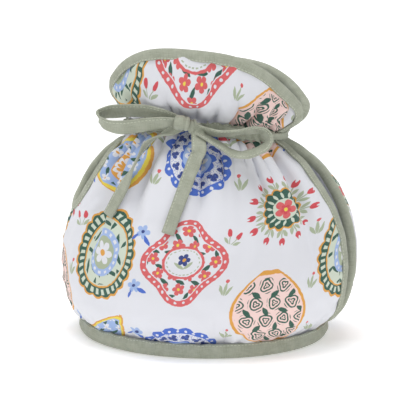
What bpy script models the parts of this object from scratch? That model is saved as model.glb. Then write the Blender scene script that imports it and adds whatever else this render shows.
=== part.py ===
"""A drawstring tea cosy: two padded panels with green bindings, hollow and standing on its hem.

It has a tall handle slit at +X, a bound spout hole near -X, a neck drawn in by a tie in a casing,
and two frill lobes above the neck. +Z is up, -Y is the front with the bow, and the origin is on
the surface it stands on. All lengths are in metres and all turns in degrees about the cosy's axis.
"""

import math
from typing import NamedTuple

import bmesh
import bpy
from mathutils import Matrix, Vector

# The cosy's axis, which puts the origin under the middle of the whole piece
AXIS_X = -0.0065
AXIS_Y = 0.0010

# Cloth
WALL = 0.0045
TAPE = 0.0012
CASING_TAPE = 0.0010
HEM_TAPE = 0.0016
TIE_TAPE = 0.0014
SEAM_HALF_GAP = 0.0009

# Landmarks on the wall, by height
PANEL_FOOT = 0.0040
SLIT_FOOT = 0.0240
NECK = 0.1665
NECK_TOP = 0.1740
SPOUT_CENTRE = 0.1295
SPOUT_HALF_HEIGHT = 0.0225
SPOUT_HALF_WIDTH = 0.0105
SPOUT_STEPS = 6

# Gathers at the neck
GATHERS = 17
GATHER_DEPTH = 0.0022
GATHER_WOBBLE = 0.35
GATHER_TOP = 0.1740
GATHER_FOOT = 0.1590
GATHER_FADE_BELOW = 0.022
GATHER_FADE_ABOVE = 0.018

# The front of the neck, which the bow lifts
FRONT_RISE = 0.0125
FRONT_RISE_FOOT = 0.0950
FRONT_RISE_TOP = 0.2150

# How finely the pieces are divided
PANEL_COLUMNS = 36
BODY_HEIGHTS = (0.0125, 0.0165, 0.0208, 0.026, 0.038, 0.054, 0.070, 0.084, 0.097)
NECK_HEIGHTS = (0.1565, 0.160, 0.1635, 0.167, 0.1705)
FRILL_ROWS = 5
SLIDE_STEPS = 3
TIE_COLUMNS = 64
LOOP_STEPS = 34
TAIL_STEPS = 24
CASING_SPACING = 0.0055

# The tie and its bow
TIE_OUT = 0.0054
TIE_HALF_WIDTH = 0.0027
TIE_BRIDGE = 0.0030
TIE_BRIDGE_TURN = 31
OPENING_TURN = 273.0
OPENING_HALF_WIDTH = 0.0112
SLIT_CLEARANCE = 0.0108
KNOT_X = 0.0017
KNOT_OUT = 0.0118
BODY_COLOUR = (0.87, 0.87, 0.89, 1.0)
GREEN_COLOUR = (0.45, 0.49, 0.38, 1.0)


class Section(NamedTuple):
    """The oval of the wall's middle at one height: its reach each way, and where its slits lie."""

    height: float
    left: float
    right: float
    front: float
    back: float
    spout_turn: float
    handle_turn: float


SECTIONS = (
    Section(0.004, 0.0930, 0.0940, 0.0840, 0.0840, 190, -2),
    Section(0.0125, 0.0937, 0.0950, 0.0847, 0.0847, 190, -2),
    Section(0.0165, 0.0970, 0.0995, 0.0880, 0.0875, 191, -2),
    Section(0.0208, 0.1015, 0.1062, 0.0925, 0.0915, 191, -2),
    Section(0.033, 0.1075, 0.1150, 0.0980, 0.0970, 192, -2),
    Section(0.054, 0.1110, 0.1210, 0.1020, 0.1000, 194, -3),
    Section(0.072, 0.1105, 0.1220, 0.1010, 0.0990, 197, -3),
    Section(0.092, 0.1060, 0.1195, 0.0965, 0.0940, 200, -3),
    Section(0.112, 0.0985, 0.1125, 0.0865, 0.0840, 202, -3),
    Section(0.130, 0.0890, 0.1020, 0.0745, 0.0730, 202, -3),
    Section(0.144, 0.0775, 0.0895, 0.0620, 0.0610, 200, -2),
    Section(0.154, 0.0655, 0.0770, 0.0490, 0.0480, 196, -1),
    Section(0.1595, 0.0580, 0.0690, 0.0410, 0.0400, 192, 0),
    Section(0.163, 0.0555, 0.0665, 0.0380, 0.0370, 190, 0),
    Section(0.1665, 0.0550, 0.0660, 0.0375, 0.0365, 188, 0),
    Section(0.170, 0.0555, 0.0680, 0.0382, 0.0371, 187, 0),
    Section(0.1735, 0.0575, 0.0722, 0.0400, 0.0386, 186, 0),
    Section(0.177, 0.0602, 0.0770, 0.0422, 0.0402, 185, 0),
    Section(0.182, 0.0645, 0.0822, 0.0448, 0.0422, 185, 0),
    Section(0.190, 0.0700, 0.0860, 0.0480, 0.0445, 184, 0),
    Section(0.200, 0.0735, 0.0862, 0.0490, 0.0450, 184, 0),
    Section(0.215, 0.0745, 0.0840, 0.0480, 0.0435, 184, 0),
    Section(0.240, 0.0690, 0.0775, 0.0415, 0.0380, 184, 0),
)


class SlitWidth(NamedTuple):
    """Half the width of the handle slit at one height."""

    height: float
    half_gap: float


HANDLE_SLIT = (
    SlitWidth(0.020, 0.0033),
    SlitWidth(0.026, 0.0035),
    SlitWidth(0.040, 0.0055),
    SlitWidth(0.060, 0.0075),
    SlitWidth(0.085, 0.0085),
    SlitWidth(0.110, 0.0095),
    SlitWidth(0.135, 0.0110),
    SlitWidth(0.150, 0.0080),
    SlitWidth(0.160, 0.0050),
    SlitWidth(0.1665, 0.0042),
    SlitWidth(0.175, 0.0050),
    SlitWidth(0.185, 0.0080),
    SlitWidth(0.200, 0.0105),
    SlitWidth(0.240, 0.0110),
)


class RimPoint(NamedTuple):
    """A point of a frill lobe's rim: its share of the way from spout seam to handle edge."""

    across: float
    height: float


FRONT_RIM = (
    RimPoint(0.000, 0.1920),
    RimPoint(0.030, 0.1935),
    RimPoint(0.065, 0.1975),
    RimPoint(0.107, 0.2035),
    RimPoint(0.203, 0.2190),
    RimPoint(0.276, 0.2285),
    RimPoint(0.344, 0.2340),
    RimPoint(0.430, 0.2373),
    RimPoint(0.530, 0.2382),
    RimPoint(0.640, 0.2368),
    RimPoint(0.720, 0.2335),
    RimPoint(0.797, 0.2265),
    RimPoint(0.860, 0.2175),
    RimPoint(0.920, 0.2060),
    RimPoint(0.965, 0.1965),
    RimPoint(0.990, 0.1885),
    RimPoint(1.000, 0.1800),
)
BACK_RIM = (
    RimPoint(0.000, 0.1920),
    RimPoint(0.030, 0.1930),
    RimPoint(0.080, 0.1990),
    RimPoint(0.160, 0.2075),
    RimPoint(0.280, 0.2140),
    RimPoint(0.450, 0.2165),
    RimPoint(0.600, 0.2140),
    RimPoint(0.700, 0.2122),
    RimPoint(0.760, 0.2085),
    RimPoint(0.820, 0.2020),
    RimPoint(0.875, 0.1965),
    RimPoint(0.925, 0.1915),
    RimPoint(0.960, 0.1872),
    RimPoint(0.982, 0.1830),
    RimPoint(0.995, 0.1790),
    RimPoint(1.000, 0.1765),
)


class Fold(NamedTuple):
    """A soft trough in the wall, which runs up and down at one turn about the cosy's axis."""

    turn: float
    half_width: float
    depth: float
    foot: float
    top: float


FOLDS = (
    Fold(226, 11, 0.0045, 0.060, 0.168),
    Fold(250, 12, 0.0020, 0.100, 0.168),
    Fold(287, 10, 0.0028, 0.105, 0.168),
    Fold(311, 11, 0.0034, 0.085, 0.168),
    Fold(334, 10, 0.0020, 0.100, 0.165),
    Fold(240, 15, 0.0026, 0.172, 0.222),
    Fold(287, 15, 0.0030, 0.172, 0.226),
    Fold(322, 14, 0.0026, 0.172, 0.222),
    Fold(40, 12, 0.0030, 0.090, 0.168),
    Fold(72, 13, 0.0040, 0.070, 0.168),
    Fold(103, 11, 0.0026, 0.100, 0.168),
    Fold(132, 13, 0.0036, 0.080, 0.168),
    Fold(158, 10, 0.0022, 0.105, 0.165),
    Fold(62, 16, 0.0028, 0.172, 0.214),
    Fold(118, 16, 0.0030, 0.172, 0.214),
)


class SectionPoint(NamedTuple):
    """A point of a folded tape: how deep over the cloth it lies, and how far out from its middle."""

    depth: float
    side: float


BINDING_FOLD = (
    SectionPoint(0.0064, 0.00375),
    SectionPoint(0.0000, 0.00375),
    SectionPoint(-0.0020, 0.00250),
    SectionPoint(-0.0020, -0.00250),
    SectionPoint(0.0000, -0.00375),
    SectionPoint(0.0064, -0.00375),
)
SPOUT_FOLD = (
    SectionPoint(0.0060, 0.00360),
    SectionPoint(0.0002, 0.00360),
    SectionPoint(-0.0017, 0.00215),
    SectionPoint(-0.0017, -0.00215),
    SectionPoint(0.0002, -0.00360),
    SectionPoint(0.0060, -0.00360),
)


class TapePoint(NamedTuple):
    """A point of a level tape's section: its height, its distance out, and how level it points."""

    height: float
    side: float
    level: float


HEM_FOLD = (
    TapePoint(0.0128, 0.0037, 0.0),
    TapePoint(0.0090, 0.0052, 1.0),
    TapePoint(0.0040, 0.0054, 1.0),
    TapePoint(HEM_TAPE / 2, 0.0036, 1.0),
    TapePoint(HEM_TAPE / 2, -0.0036, 1.0),
    TapePoint(0.0040, -0.0054, 1.0),
    TapePoint(0.0090, -0.0052, 1.0),
    TapePoint(0.0120, -0.0037, 0.0),
)
CASING_FOLD = (
    TapePoint(0.1596, 0.0034, 0.0),
    TapePoint(0.1620, 0.0075, 1.0),
    TapePoint(0.1663, 0.0081, 1.0),
    TapePoint(0.1706, 0.0075, 1.0),
    TapePoint(0.1736, 0.0034, 0.0),
)


class KnotLump(NamedTuple):
    """A rounded lump of the knot, from the knot's middle, with its slant in degrees."""

    name: str
    x: float
    out: float
    up: float
    half_width: float
    half_depth: float
    half_height: float
    slant: float


KNOT_LUMPS = (
    KnotLump("knot wrap", -0.0030, 0.0004, 0.0005, 0.0056, 0.0072, 0.0078, 9),
    KnotLump("knot turn", 0.0062, -0.0005, -0.0006, 0.0063, 0.0068, 0.0067, -14),
)


class LoopPoint(NamedTuple):
    """A point of a bow loop, from the knot's middle: the tape's lean there in degrees, and its width."""

    x: float
    out: float
    up: float
    lean: float
    width: float


LEFT_LOOP = (
    LoopPoint(-0.0045, -0.0012, 0.0035, 5, 0.0070),
    LoopPoint(-0.0110, -0.0008, 0.0052, 8, 0.0090),
    LoopPoint(-0.0260, -0.0006, 0.0078, 12, 0.0110),
    LoopPoint(-0.0435, -0.0020, 0.0090, 14, 0.0115),
    LoopPoint(-0.0590, -0.0020, 0.0072, 12, 0.0115),
    LoopPoint(-0.0680, 0.0005, 0.0050, 8, 0.0115),
    LoopPoint(-0.0712, 0.0055, 0.0028, 0, 0.0115),
    LoopPoint(-0.0662, 0.0110, 0.0000, -12, 0.0115),
    LoopPoint(-0.0550, 0.0138, -0.0010, -18, 0.0115),
    LoopPoint(-0.0390, 0.0132, -0.0012, -18, 0.0115),
    LoopPoint(-0.0232, 0.0100, -0.0004, -12, 0.0110),
    LoopPoint(-0.0115, 0.0062, 0.0004, -6, 0.0090),
    LoopPoint(-0.0045, 0.0042, 0.0005, 0, 0.0070),
)
RIGHT_LOOP = (
    LoopPoint(0.0040, -0.0014, 0.0005, 10, 0.0060),
    LoopPoint(0.0120, 0.0006, -0.0010, 28, 0.0080),
    LoopPoint(0.0230, 0.0034, -0.0018, 48, 0.0105),
    LoopPoint(0.0360, 0.0036, -0.0010, 58, 0.0115),
    LoopPoint(0.0500, 0.0015, 0.0008, 52, 0.0115),
    LoopPoint(0.0612, 0.0010, 0.0000, 35, 0.0115),
    LoopPoint(0.0685, 0.0040, -0.0050, 10, 0.0115),
    LoopPoint(0.0675, 0.0085, -0.0115, -25, 0.0115),
    LoopPoint(0.0570, 0.0120, -0.0160, -45, 0.0115),
    LoopPoint(0.0450, 0.0130, -0.0166, -52, 0.0115),
    LoopPoint(0.0325, 0.0120, -0.0125, -48, 0.0110),
    LoopPoint(0.0195, 0.0085, -0.0070, -32, 0.0100),
    LoopPoint(0.0100, 0.0055, -0.0030, -15, 0.0080),
    LoopPoint(0.0040, 0.0038, -0.0015, 0, 0.0060),
)


class TailPoint(NamedTuple):
    """A point of a tie's tail over the wall: the air under it, and the tape's lean and width there."""

    turn: float
    height: float
    air: float
    lean: float
    width: float


LEFT_TAIL = (
    TailPoint(267.5, 0.1640, 0.0100, 10, 0.0060),
    TailPoint(263.0, 0.1610, 0.0118, 25, 0.0085),
    TailPoint(258.0, 0.1580, 0.0118, 45, 0.0100),
    TailPoint(253.5, 0.1550, 0.0108, 60, 0.0105),
    TailPoint(250.5, 0.1510, 0.0094, 66, 0.0105),
    TailPoint(248.8, 0.1455, 0.0078, 58, 0.0105),
    TailPoint(246.5, 0.1391, 0.0056, 38, 0.0105),
    TailPoint(244.5, 0.1320, 0.0032, 12, 0.0105),
    TailPoint(242.6, 0.1250, 0.0020, 2, 0.0105),
    TailPoint(240.2, 0.1160, 0.0014, 0, 0.0105),
    TailPoint(238.5, 0.1100, 0.0014, 0, 0.0105),
)
RIGHT_TAIL = (
    TailPoint(277.6, 0.1650, 0.0100, 0, 0.0070),
    TailPoint(278.9, 0.1600, 0.0112, 0, 0.0082),
    TailPoint(279.0, 0.1540, 0.0085, 3, 0.0092),
    TailPoint(278.5, 0.1490, 0.0056, 5, 0.0095),
    TailPoint(277.7, 0.1434, 0.0034, 4, 0.0095),
    TailPoint(276.5, 0.1376, 0.0022, 2, 0.0095),
    TailPoint(275.3, 0.1318, 0.0016, 0, 0.0095),
    TailPoint(272.4, 0.1165, 0.0015, 0, 0.0095),
    TailPoint(269.6, 0.1025, 0.0015, 0, 0.0095),
)


def clear_scene():
    """Removes whatever the scene starts with."""
    for thing in list(bpy.data.objects):
        bpy.data.objects.remove(thing, do_unlink=True)


def eased(share):
    """0 to 1 with level ends."""
    share = min(1.0, max(0.0, share))
    return share * share * (3 - 2 * share)


def read_table(rows, place):
    """The later columns of a table at a place in its first column, on a smooth curve through its rows."""
    last = len(rows) - 1
    i = max(0, min(last - 1, sum(row[0] <= place for row in rows) - 1))
    span = rows[i + 1][0] - rows[i][0]
    share = (place - rows[i][0]) / span
    found = []
    for column in range(1, len(rows[0])):

        def slope(k):
            """The curve's slope at row k, from the rows beside it."""
            low, high = max(0, k - 1), min(last, k + 1)
            return (rows[high][column] - rows[low][column]) / (rows[high][0] - rows[low][0])

        start, end = rows[i][column], rows[i + 1][column]
        found.append(
            (2 * share**3 - 3 * share**2 + 1) * start
            + (share**3 - 2 * share**2 + share) * span * slope(i)
            + (3 * share**2 - 2 * share**3) * end
            + (share**3 - share**2) * span * slope(i + 1)
        )
    return found


def route_of(rows, steps):
    """Points evenly spaced by share on a smooth curve through the rows of a route."""
    numbered = [(index, *row) for index, row in enumerate(rows)]
    return [read_table(numbered, (len(rows) - 1) * step / steps) for step in range(steps + 1)]


def section_at(height):
    """The wall's oval at a height."""
    return Section(height, *read_table(SECTIONS, height))


def turn_apart(a, b):
    """The smaller angle between two turns, in degrees."""
    return abs((a - b + 180) % 360 - 180)


def stillness(section, turn):
    """1 on open cloth, falling to 0 beside the slits, where the bindings hold the wall smooth."""
    from_handle = turn_apart(turn, section.handle_turn) - 15
    from_spout = turn_apart(turn, section.spout_turn) - 12
    near_hole = eased(1.6 - abs(section.height - SPOUT_CENTRE) / SPOUT_HALF_HEIGHT)
    return eased(from_handle / 14) * (1 - near_hole * (1 - eased(from_spout / 12)))


def draw_in(section, turn):
    """How far gathers and folds draw the wall in, in metres."""
    height = section.height
    below = max(0.0, GATHER_FOOT - height) / GATHER_FADE_BELOW
    above = max(0.0, height - GATHER_TOP) / GATHER_FADE_ABOVE
    strength = math.exp(-below * below - above * above)
    angle = math.radians(turn)
    wave = 0.5 - 0.5 * math.cos(GATHERS * angle + GATHER_WOBBLE * math.sin(5 * angle))
    total = GATHER_DEPTH * strength * wave
    for fold in FOLDS:
        across = turn_apart(turn, fold.turn) / fold.half_width
        if across < 1 and fold.foot < height < fold.top:
            along = math.sin(math.pi * (height - fold.foot) / (fold.top - fold.foot))
            total += fold.depth * along * math.cos(across * math.pi / 2) ** 2
    return total * stillness(section, turn)


def front_rise(height):
    """How far the tie lifts the cloth at the front, where the bow is."""
    foot, top = FRONT_RISE_FOOT, FRONT_RISE_TOP
    share = (height - foot) / (NECK - foot) if height < NECK else (top - height) / (top - NECK)
    return FRONT_RISE * eased(share)


def wall_point(turn, height, smooth=False):
    """A point of the wall's middle at a turn in degrees and a height."""
    section = section_at(height)
    angle = math.radians(turn)
    reach_x = section.right if math.cos(angle) > 0 else section.left
    reach_y = section.back if math.sin(angle) > 0 else section.front
    level = height + front_rise(height) * max(0.0, -math.sin(angle)) ** 2
    point = Vector((AXIS_X + reach_x * math.cos(angle), AXIS_Y + reach_y * math.sin(angle), level))
    if smooth:
        return point
    inward = Vector((-math.cos(angle), -math.sin(angle), 0))
    return point + inward * draw_in(section, turn)


def wall_slopes(turn, height, smooth=False):
    """How the wall's point moves with a degree of turn and with a metre of height."""
    turn_step, height_step = 0.2, 0.0004
    across = wall_point(turn + turn_step, height, smooth) - wall_point(turn - turn_step, height, smooth)
    upward = wall_point(turn, height + height_step, smooth) - wall_point(turn, height - height_step, smooth)
    return across / (2 * turn_step), upward / (2 * height_step)


def wall_normal(turn, height, smooth=False):
    """The wall's outward direction."""
    across, upward = wall_slopes(turn, height, smooth)
    return across.cross(upward).normalized()


def slid_along_wall(turn, height, move):
    """The turn and height reached from a place on the wall by a move along it."""
    for _ in range(SLIDE_STEPS):
        across, upward = wall_slopes(turn, height)
        aa, ab, bb = across.dot(across), across.dot(upward), upward.dot(upward)
        am, bm = across.dot(move) / SLIDE_STEPS, upward.dot(move) / SLIDE_STEPS
        scale = aa * bb - ab * ab
        turn += (bb * am - ab * bm) / scale
        height += (aa * bm - ab * am) / scale
    return turn, height


def degrees_for(distance, turn, height):
    """The turn that a level distance along the wall takes up."""
    return distance / wall_slopes(turn, height, smooth=True)[0].length


def spout_half_gap(height):
    """Half the opening between the panels on the spout side."""
    share = (height - SPOUT_CENTRE) / SPOUT_HALF_HEIGHT
    return max(SEAM_HALF_GAP, SPOUT_HALF_WIDTH * math.sqrt(max(0.0, 1 - share * share)))


def handle_half_gap(height):
    """Half the opening between the panels on the handle side."""
    return read_table(HANDLE_SLIT, height)[0] if height > SLIT_FOOT else SEAM_HALF_GAP


class Panel:
    """One of the two panels: the way its turns run from the spout seam to the handle edge."""

    def __init__(self, name, sign, rim):
        self.name = name
        self.sign = sign
        self.rim = rim
        self.rim_route = route_of(rim, 4 * PANEL_COLUMNS)
        self.heights = body_heights()

    def turn_at(self, across, height):
        """The turn at a share of the way across the panel."""
        section = section_at(height)
        handle = section.handle_turn + (360 if self.sign > 0 else 0)
        seam_gap = degrees_for(spout_half_gap(height), section.spout_turn, height)
        slit_gap = degrees_for(handle_half_gap(height), section.handle_turn, height)
        start = section.spout_turn + self.sign * seam_gap
        end = handle - self.sign * slit_gap
        return start + (end - start) * across

    def rim_point(self, column):
        """The share across and the height of the rim above a column."""
        place = len(self.rim_route) - 1
        return self.rim_route[round(place * column / PANEL_COLUMNS)]

    def turn_and_height(self, column, row):
        """Where a corner of the panel's grid lies on the wall."""
        across = column / PANEL_COLUMNS
        body_rows = len(self.heights) - 1
        if row <= body_rows:
            return self.turn_at(across, self.heights[row]), self.heights[row]
        share = (row - body_rows) / FRILL_ROWS
        rim_across, rim_height = self.rim_point(column)
        height = self.heights[-1] + (rim_height - self.heights[-1]) * share
        return self.turn_at(across + (rim_across - across) * share, height), height

    def place(self, column, row):
        """The point of a corner of the panel's grid."""
        return wall_point(*self.turn_and_height(column, row))


def spout_heights():
    """The heights of the corners round the spout hole, from its foot to its top."""
    angles = (math.pi * step / SPOUT_STEPS for step in range(SPOUT_STEPS + 1))
    return [SPOUT_CENTRE - SPOUT_HALF_HEIGHT * math.cos(angle) for angle in angles]


def body_heights():
    """The heights of the panel's rows from its foot to the top of the neck."""
    return [PANEL_FOOT, *BODY_HEIGHTS, *spout_heights(), *NECK_HEIGHTS, NECK_TOP]


def cloth_material(name, colour):
    """A plain matt cloth."""
    material = bpy.data.materials.new(name)
    material.use_nodes = True
    shader = material.node_tree.nodes["Principled BSDF"]
    shader.inputs["Base Color"].default_value = colour
    shader.inputs["Roughness"].default_value = 0.9
    shader.inputs["Metallic"].default_value = 0.0
    return material


def cloth_sheet(name, columns, rows, place, thickness, material, ring=False):
    """A grid laid through place(column, row) and thickened into cloth; a ring's ends are welded."""
    grid = bmesh.new()
    bmesh.ops.create_grid(grid, x_segments=columns, y_segments=rows, size=0.5)
    for corner in grid.verts:
        column = round((corner.co.x + 0.5) * columns)
        row = round((corner.co.y + 0.5) * rows)
        corner.co = place(column, row)
    if ring:
        bmesh.ops.remove_doubles(grid, verts=grid.verts, dist=1e-6)
    mesh = bpy.data.meshes.new(name)
    grid.to_mesh(mesh)
    grid.free()
    mesh.materials.append(material)
    mesh.shade_smooth()
    sheet = bpy.data.objects.new(name, mesh)
    bpy.context.scene.collection.objects.link(sheet)
    solidify = sheet.modifiers.new("cloth thickness", "SOLIDIFY")
    solidify.thickness = thickness
    solidify.offset = 0
    solidify.use_even_offset = True
    return sheet


def make_panel(panel, material):
    """A padded panel, from its foot in the hem to the rim of its frill lobe."""
    rows = len(panel.heights) - 1 + FRILL_ROWS
    return cloth_sheet(panel.name, PANEL_COLUMNS, rows, panel.place, WALL, material)


def over_edge(station, along, point):
    """A point of tape folded over an edge of the wall that runs in the direction along."""
    turn, height = station
    normal = wall_normal(turn, height)
    inward = normal.cross(along).normalized()
    if point.depth <= 0:
        return wall_point(turn, height) + inward * point.depth + normal * point.side
    place = slid_along_wall(turn, height, inward * point.depth)
    return wall_point(*place) + wall_normal(*place) * point.side


def make_binding(name, stations, fold, ring=False):
    """Tape folded over the edge that runs through the stations, given as turns and heights."""
    material = cloth_material("green " + name.replace("_", " "), GREEN_COLOUR)
    points = [wall_point(*station) for station in stations]
    count = len(stations)

    def place(column, row):
        """The point of one corner of the folded tape."""
        at = column % count if ring else column
        before = (at - 1) % count if ring else max(0, at - 1)
        after = (at + 1) % count if ring else min(count - 1, at + 1)
        along = (points[after] - points[before]).normalized()
        return over_edge(stations[at], along, fold[row])

    columns = count if ring else count - 1
    return cloth_sheet(name, columns, len(fold) - 1, place, TAPE, material, ring)


def rim_and_slit_stations(front, back):
    """From the slit's foot up the front panel, over both rims, and down the back panel."""
    rows = [row for row, height in enumerate(front.heights) if height > SLIT_FOOT]
    rim_row = len(front.heights) - 1 + FRILL_ROWS
    up_front = [front.turn_and_height(PANEL_COLUMNS, row) for row in rows]
    front_rim = [front.turn_and_height(column, rim_row) for column in range(PANEL_COLUMNS, 0, -1)]
    rim_dip = front.rim[0].height
    dip = (section_at(rim_dip).spout_turn, rim_dip)
    back_rim = [back.turn_and_height(column, rim_row) for column in range(1, PANEL_COLUMNS + 1)]
    down_back = [back.turn_and_height(PANEL_COLUMNS, row) for row in reversed(rows)]
    return [*up_front, *front_rim, dip, *back_rim, *down_back]


def spout_hole_stations(front, back):
    """Round the spout hole: down its front edge and up its back edge."""
    foot, *between, top = spout_heights()
    down_front = [(front.turn_at(0, height), height) for height in reversed(between)]
    up_back = [(back.turn_at(0, height), height) for height in between]
    return [(section_at(top).spout_turn, top), *down_front, (section_at(foot).spout_turn, foot), *up_back]


def beside_wall(turn, point):
    """A point of a level tape round the wall, in its section at one turn."""
    base = wall_point(turn, point.height, smooth=True)
    normal = wall_normal(turn, point.height, smooth=True)
    normal.z *= 1 - point.level
    return base + normal.normalized() * point.side


def make_hem_band(front, back, material):
    """The wide tape folded round the foot of both panels, flat where it stands."""
    turns = [front.turn_at(column / PANEL_COLUMNS, PANEL_FOOT) for column in range(PANEL_COLUMNS)]
    turns += [back.turn_at(column / PANEL_COLUMNS, PANEL_FOOT) for column in range(PANEL_COLUMNS, 0, -1)]

    def place(column, row):
        """The point of one corner of the hem tape."""
        return beside_wall(turns[column % len(turns)], HEM_FOLD[row])

    return cloth_sheet("hem_band", len(turns), len(HEM_FOLD) - 1, place, HEM_TAPE, material, ring=True)


def make_casing(name, start, end):
    """A stretch of the gathered tape that the tie runs in, from one turn to another."""
    material = cloth_material("green " + name.replace("_", " "), GREEN_COLOUR)
    length = sum(degrees_to_metres(start, end))
    columns = round(length / CASING_SPACING)

    def place(column, row):
        """The point of one corner of the casing, with its puckers."""
        turn = start + (end - start) * column / columns
        pucker = math.cos(1.7 * column) + 0.5 * math.cos(2.9 * column + 1)
        point = CASING_FOLD[row]
        edge = row in (0, len(CASING_FOLD) - 1)
        swell = 0.0 if edge else 0.0003 * pucker
        return beside_wall(turn, TapePoint(point.height, point.side + 0.0003 + swell, point.level))

    return cloth_sheet(name, columns, len(CASING_FOLD) - 1, place, CASING_TAPE, material)


def degrees_to_metres(start, end, steps=24):
    """The lengths of short steps round the neck between two turns."""
    turns = [start + (end - start) * step / steps for step in range(steps + 1)]
    points = [wall_point(turn, NECK, smooth=True) for turn in turns]
    return [(b - a).length for a, b in zip(points, points[1:])]


def ribbon(name, middles, directions, material):
    """A flat tape through the middles, with its width along the directions."""

    def place(column, row):
        """The point of one corner of the tape."""
        return middles[column] + directions[column] * (row - 0.5)

    return cloth_sheet(name, len(middles) - 1, 1, place, TIE_TAPE, material)


def alongs(points):
    """The direction of travel at each point of a route."""
    last = len(points) - 1
    pairs = ((points[max(0, i - 1)], points[min(last, i + 1)]) for i in range(last + 1))
    return [(after - before).normalized() for before, after in pairs]


def leaned(upright, along, lean):
    """The direction upright, made square to along and leaned about it by an angle in degrees."""
    square = (upright - along * along.dot(upright)).normalized()
    angle = math.radians(lean)
    return square * math.cos(angle) + along.cross(square) * math.sin(angle)


def loop_ribbon(name, rows, knot, material):
    """A bow loop, from the knot out and back."""
    route = [LoopPoint(*row) for row in route_of(rows, LOOP_STEPS)]
    middles = [knot + Vector((point.x, -point.out, point.up)) for point in route]
    directions = [
        leaned(Vector((0, 0, 1)), along, point.lean) * point.width
        for point, along in zip(route, alongs(middles))
    ]
    return ribbon(name, middles, directions, material)


def tail_ribbon(name, rows, material):
    """A tail of the tie, which hangs down over the front panel."""
    route = [TailPoint(*row) for row in route_of(rows, TAIL_STEPS)]
    normals = [wall_normal(point.turn, point.height, smooth=True) for point in route]
    middles = []
    for point, normal in zip(route, normals):
        level = Vector((normal.x, normal.y, 0)).normalized()
        lift = (WALL / 2 + TIE_TAPE / 2 + point.air) / normal.dot(level)
        middles.append(wall_point(point.turn, point.height, smooth=True) + level * lift)
    directions = [
        leaned(along.cross(normal), along, point.lean) * point.width
        for point, normal, along in zip(route, normals, alongs(middles))
    ]
    return ribbon(name, middles, directions, material)


def knot_lump(lump, knot, material):
    """One rounded lump of the knot."""
    ball = bmesh.new()
    bmesh.ops.create_uvsphere(ball, u_segments=16, v_segments=10, radius=1)
    slant = Matrix.Rotation(math.radians(lump.slant), 3, "Y")
    for corner in ball.verts:
        size = Vector((lump.half_width, lump.half_depth, lump.half_height))
        corner.co = knot + Vector((lump.x, -lump.out, lump.up)) + slant @ (corner.co * size)
    mesh = bpy.data.meshes.new(lump.name)
    ball.to_mesh(mesh)
    ball.free()
    mesh.materials.append(material)
    mesh.shade_smooth()
    made = bpy.data.objects.new(lump.name, mesh)
    bpy.context.scene.collection.objects.link(made)
    return made


def make_tie(material):
    """The tie: its run round the neck, the knot, two loops and two tails, as one piece of tape."""
    front_middle = wall_point(270, NECK, smooth=True)
    knot = front_middle + Vector((KNOT_X, -KNOT_OUT, 0))

    def round_the_neck(column, row):
        """The point of one corner of the run in the casing."""
        turn = 360 * column / TIE_COLUMNS
        over_slit = eased(1 - turn_apart(turn, 0) / TIE_BRIDGE_TURN)
        side = TIE_OUT + TIE_BRIDGE * over_slit
        return beside_wall(turn, TapePoint(NECK + TIE_HALF_WIDTH * (2 * row - 1), side, 1.0))

    tie = cloth_sheet("tie", TIE_COLUMNS, 1, round_the_neck, TIE_TAPE, material, ring=True)
    joined = [
        *(knot_lump(lump, knot, material) for lump in KNOT_LUMPS),
        loop_ribbon("left loop", LEFT_LOOP, knot, material),
        loop_ribbon("right loop", RIGHT_LOOP, knot, material),
        tail_ribbon("left tail", LEFT_TAIL, material),
        tail_ribbon("right tail", RIGHT_TAIL, material),
    ]
    for piece in joined:
        piece.hide_render = True
        piece.display_type = "WIRE"
        union = tie.modifiers.new(piece.name, "BOOLEAN")
        union.operation = "UNION"
        union.solver = "EXACT"
        union.object = piece
    return tie, joined


def into_collection(name, things):
    """Moves objects into a collection of their own."""
    collection = bpy.data.collections.new(name)
    bpy.context.scene.collection.children.link(collection)
    for thing in things:
        bpy.context.scene.collection.objects.unlink(thing)
        collection.objects.link(thing)


def main():
    """Makes every piece of the cosy."""
    clear_scene()
    front = Panel("front_panel", 1, FRONT_RIM)
    back = Panel("back_panel", -1, BACK_RIM)
    casing_clear = degrees_for(handle_half_gap(NECK) + SLIT_CLEARANCE, 0, NECK)
    opening = degrees_for(OPENING_HALF_WIDTH, OPENING_TURN, NECK)
    tie, joined = make_tie(cloth_material("green tie tape", GREEN_COLOUR))
    made = [
        make_panel(front, cloth_material("front print cloth", BODY_COLOUR)),
        make_panel(back, cloth_material("back print cloth", BODY_COLOUR)),
        make_binding("rim_binding", rim_and_slit_stations(front, back), BINDING_FOLD),
        make_binding("spout_binding", spout_hole_stations(front, back), SPOUT_FOLD, ring=True),
        make_hem_band(front, back, cloth_material("green hem tape", GREEN_COLOUR)),
        make_casing("casing_long", OPENING_TURN - opening, casing_clear),
        make_casing("casing_short", OPENING_TURN + opening, 360 - casing_clear),
        tie,
    ]
    into_collection("tea cosy", made)
    into_collection("joined into the tie", joined)


main()
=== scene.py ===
"""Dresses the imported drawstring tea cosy: printed cloth, sewn tapes, stitches, bow and studio.

Lengths are in metres and turns in degrees about the cosy's axis. +Z is up and -Y is the front.
"""

import logging
import math
from dataclasses import dataclass, field
from enum import Enum
from typing import Optional, Sequence, Union

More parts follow.
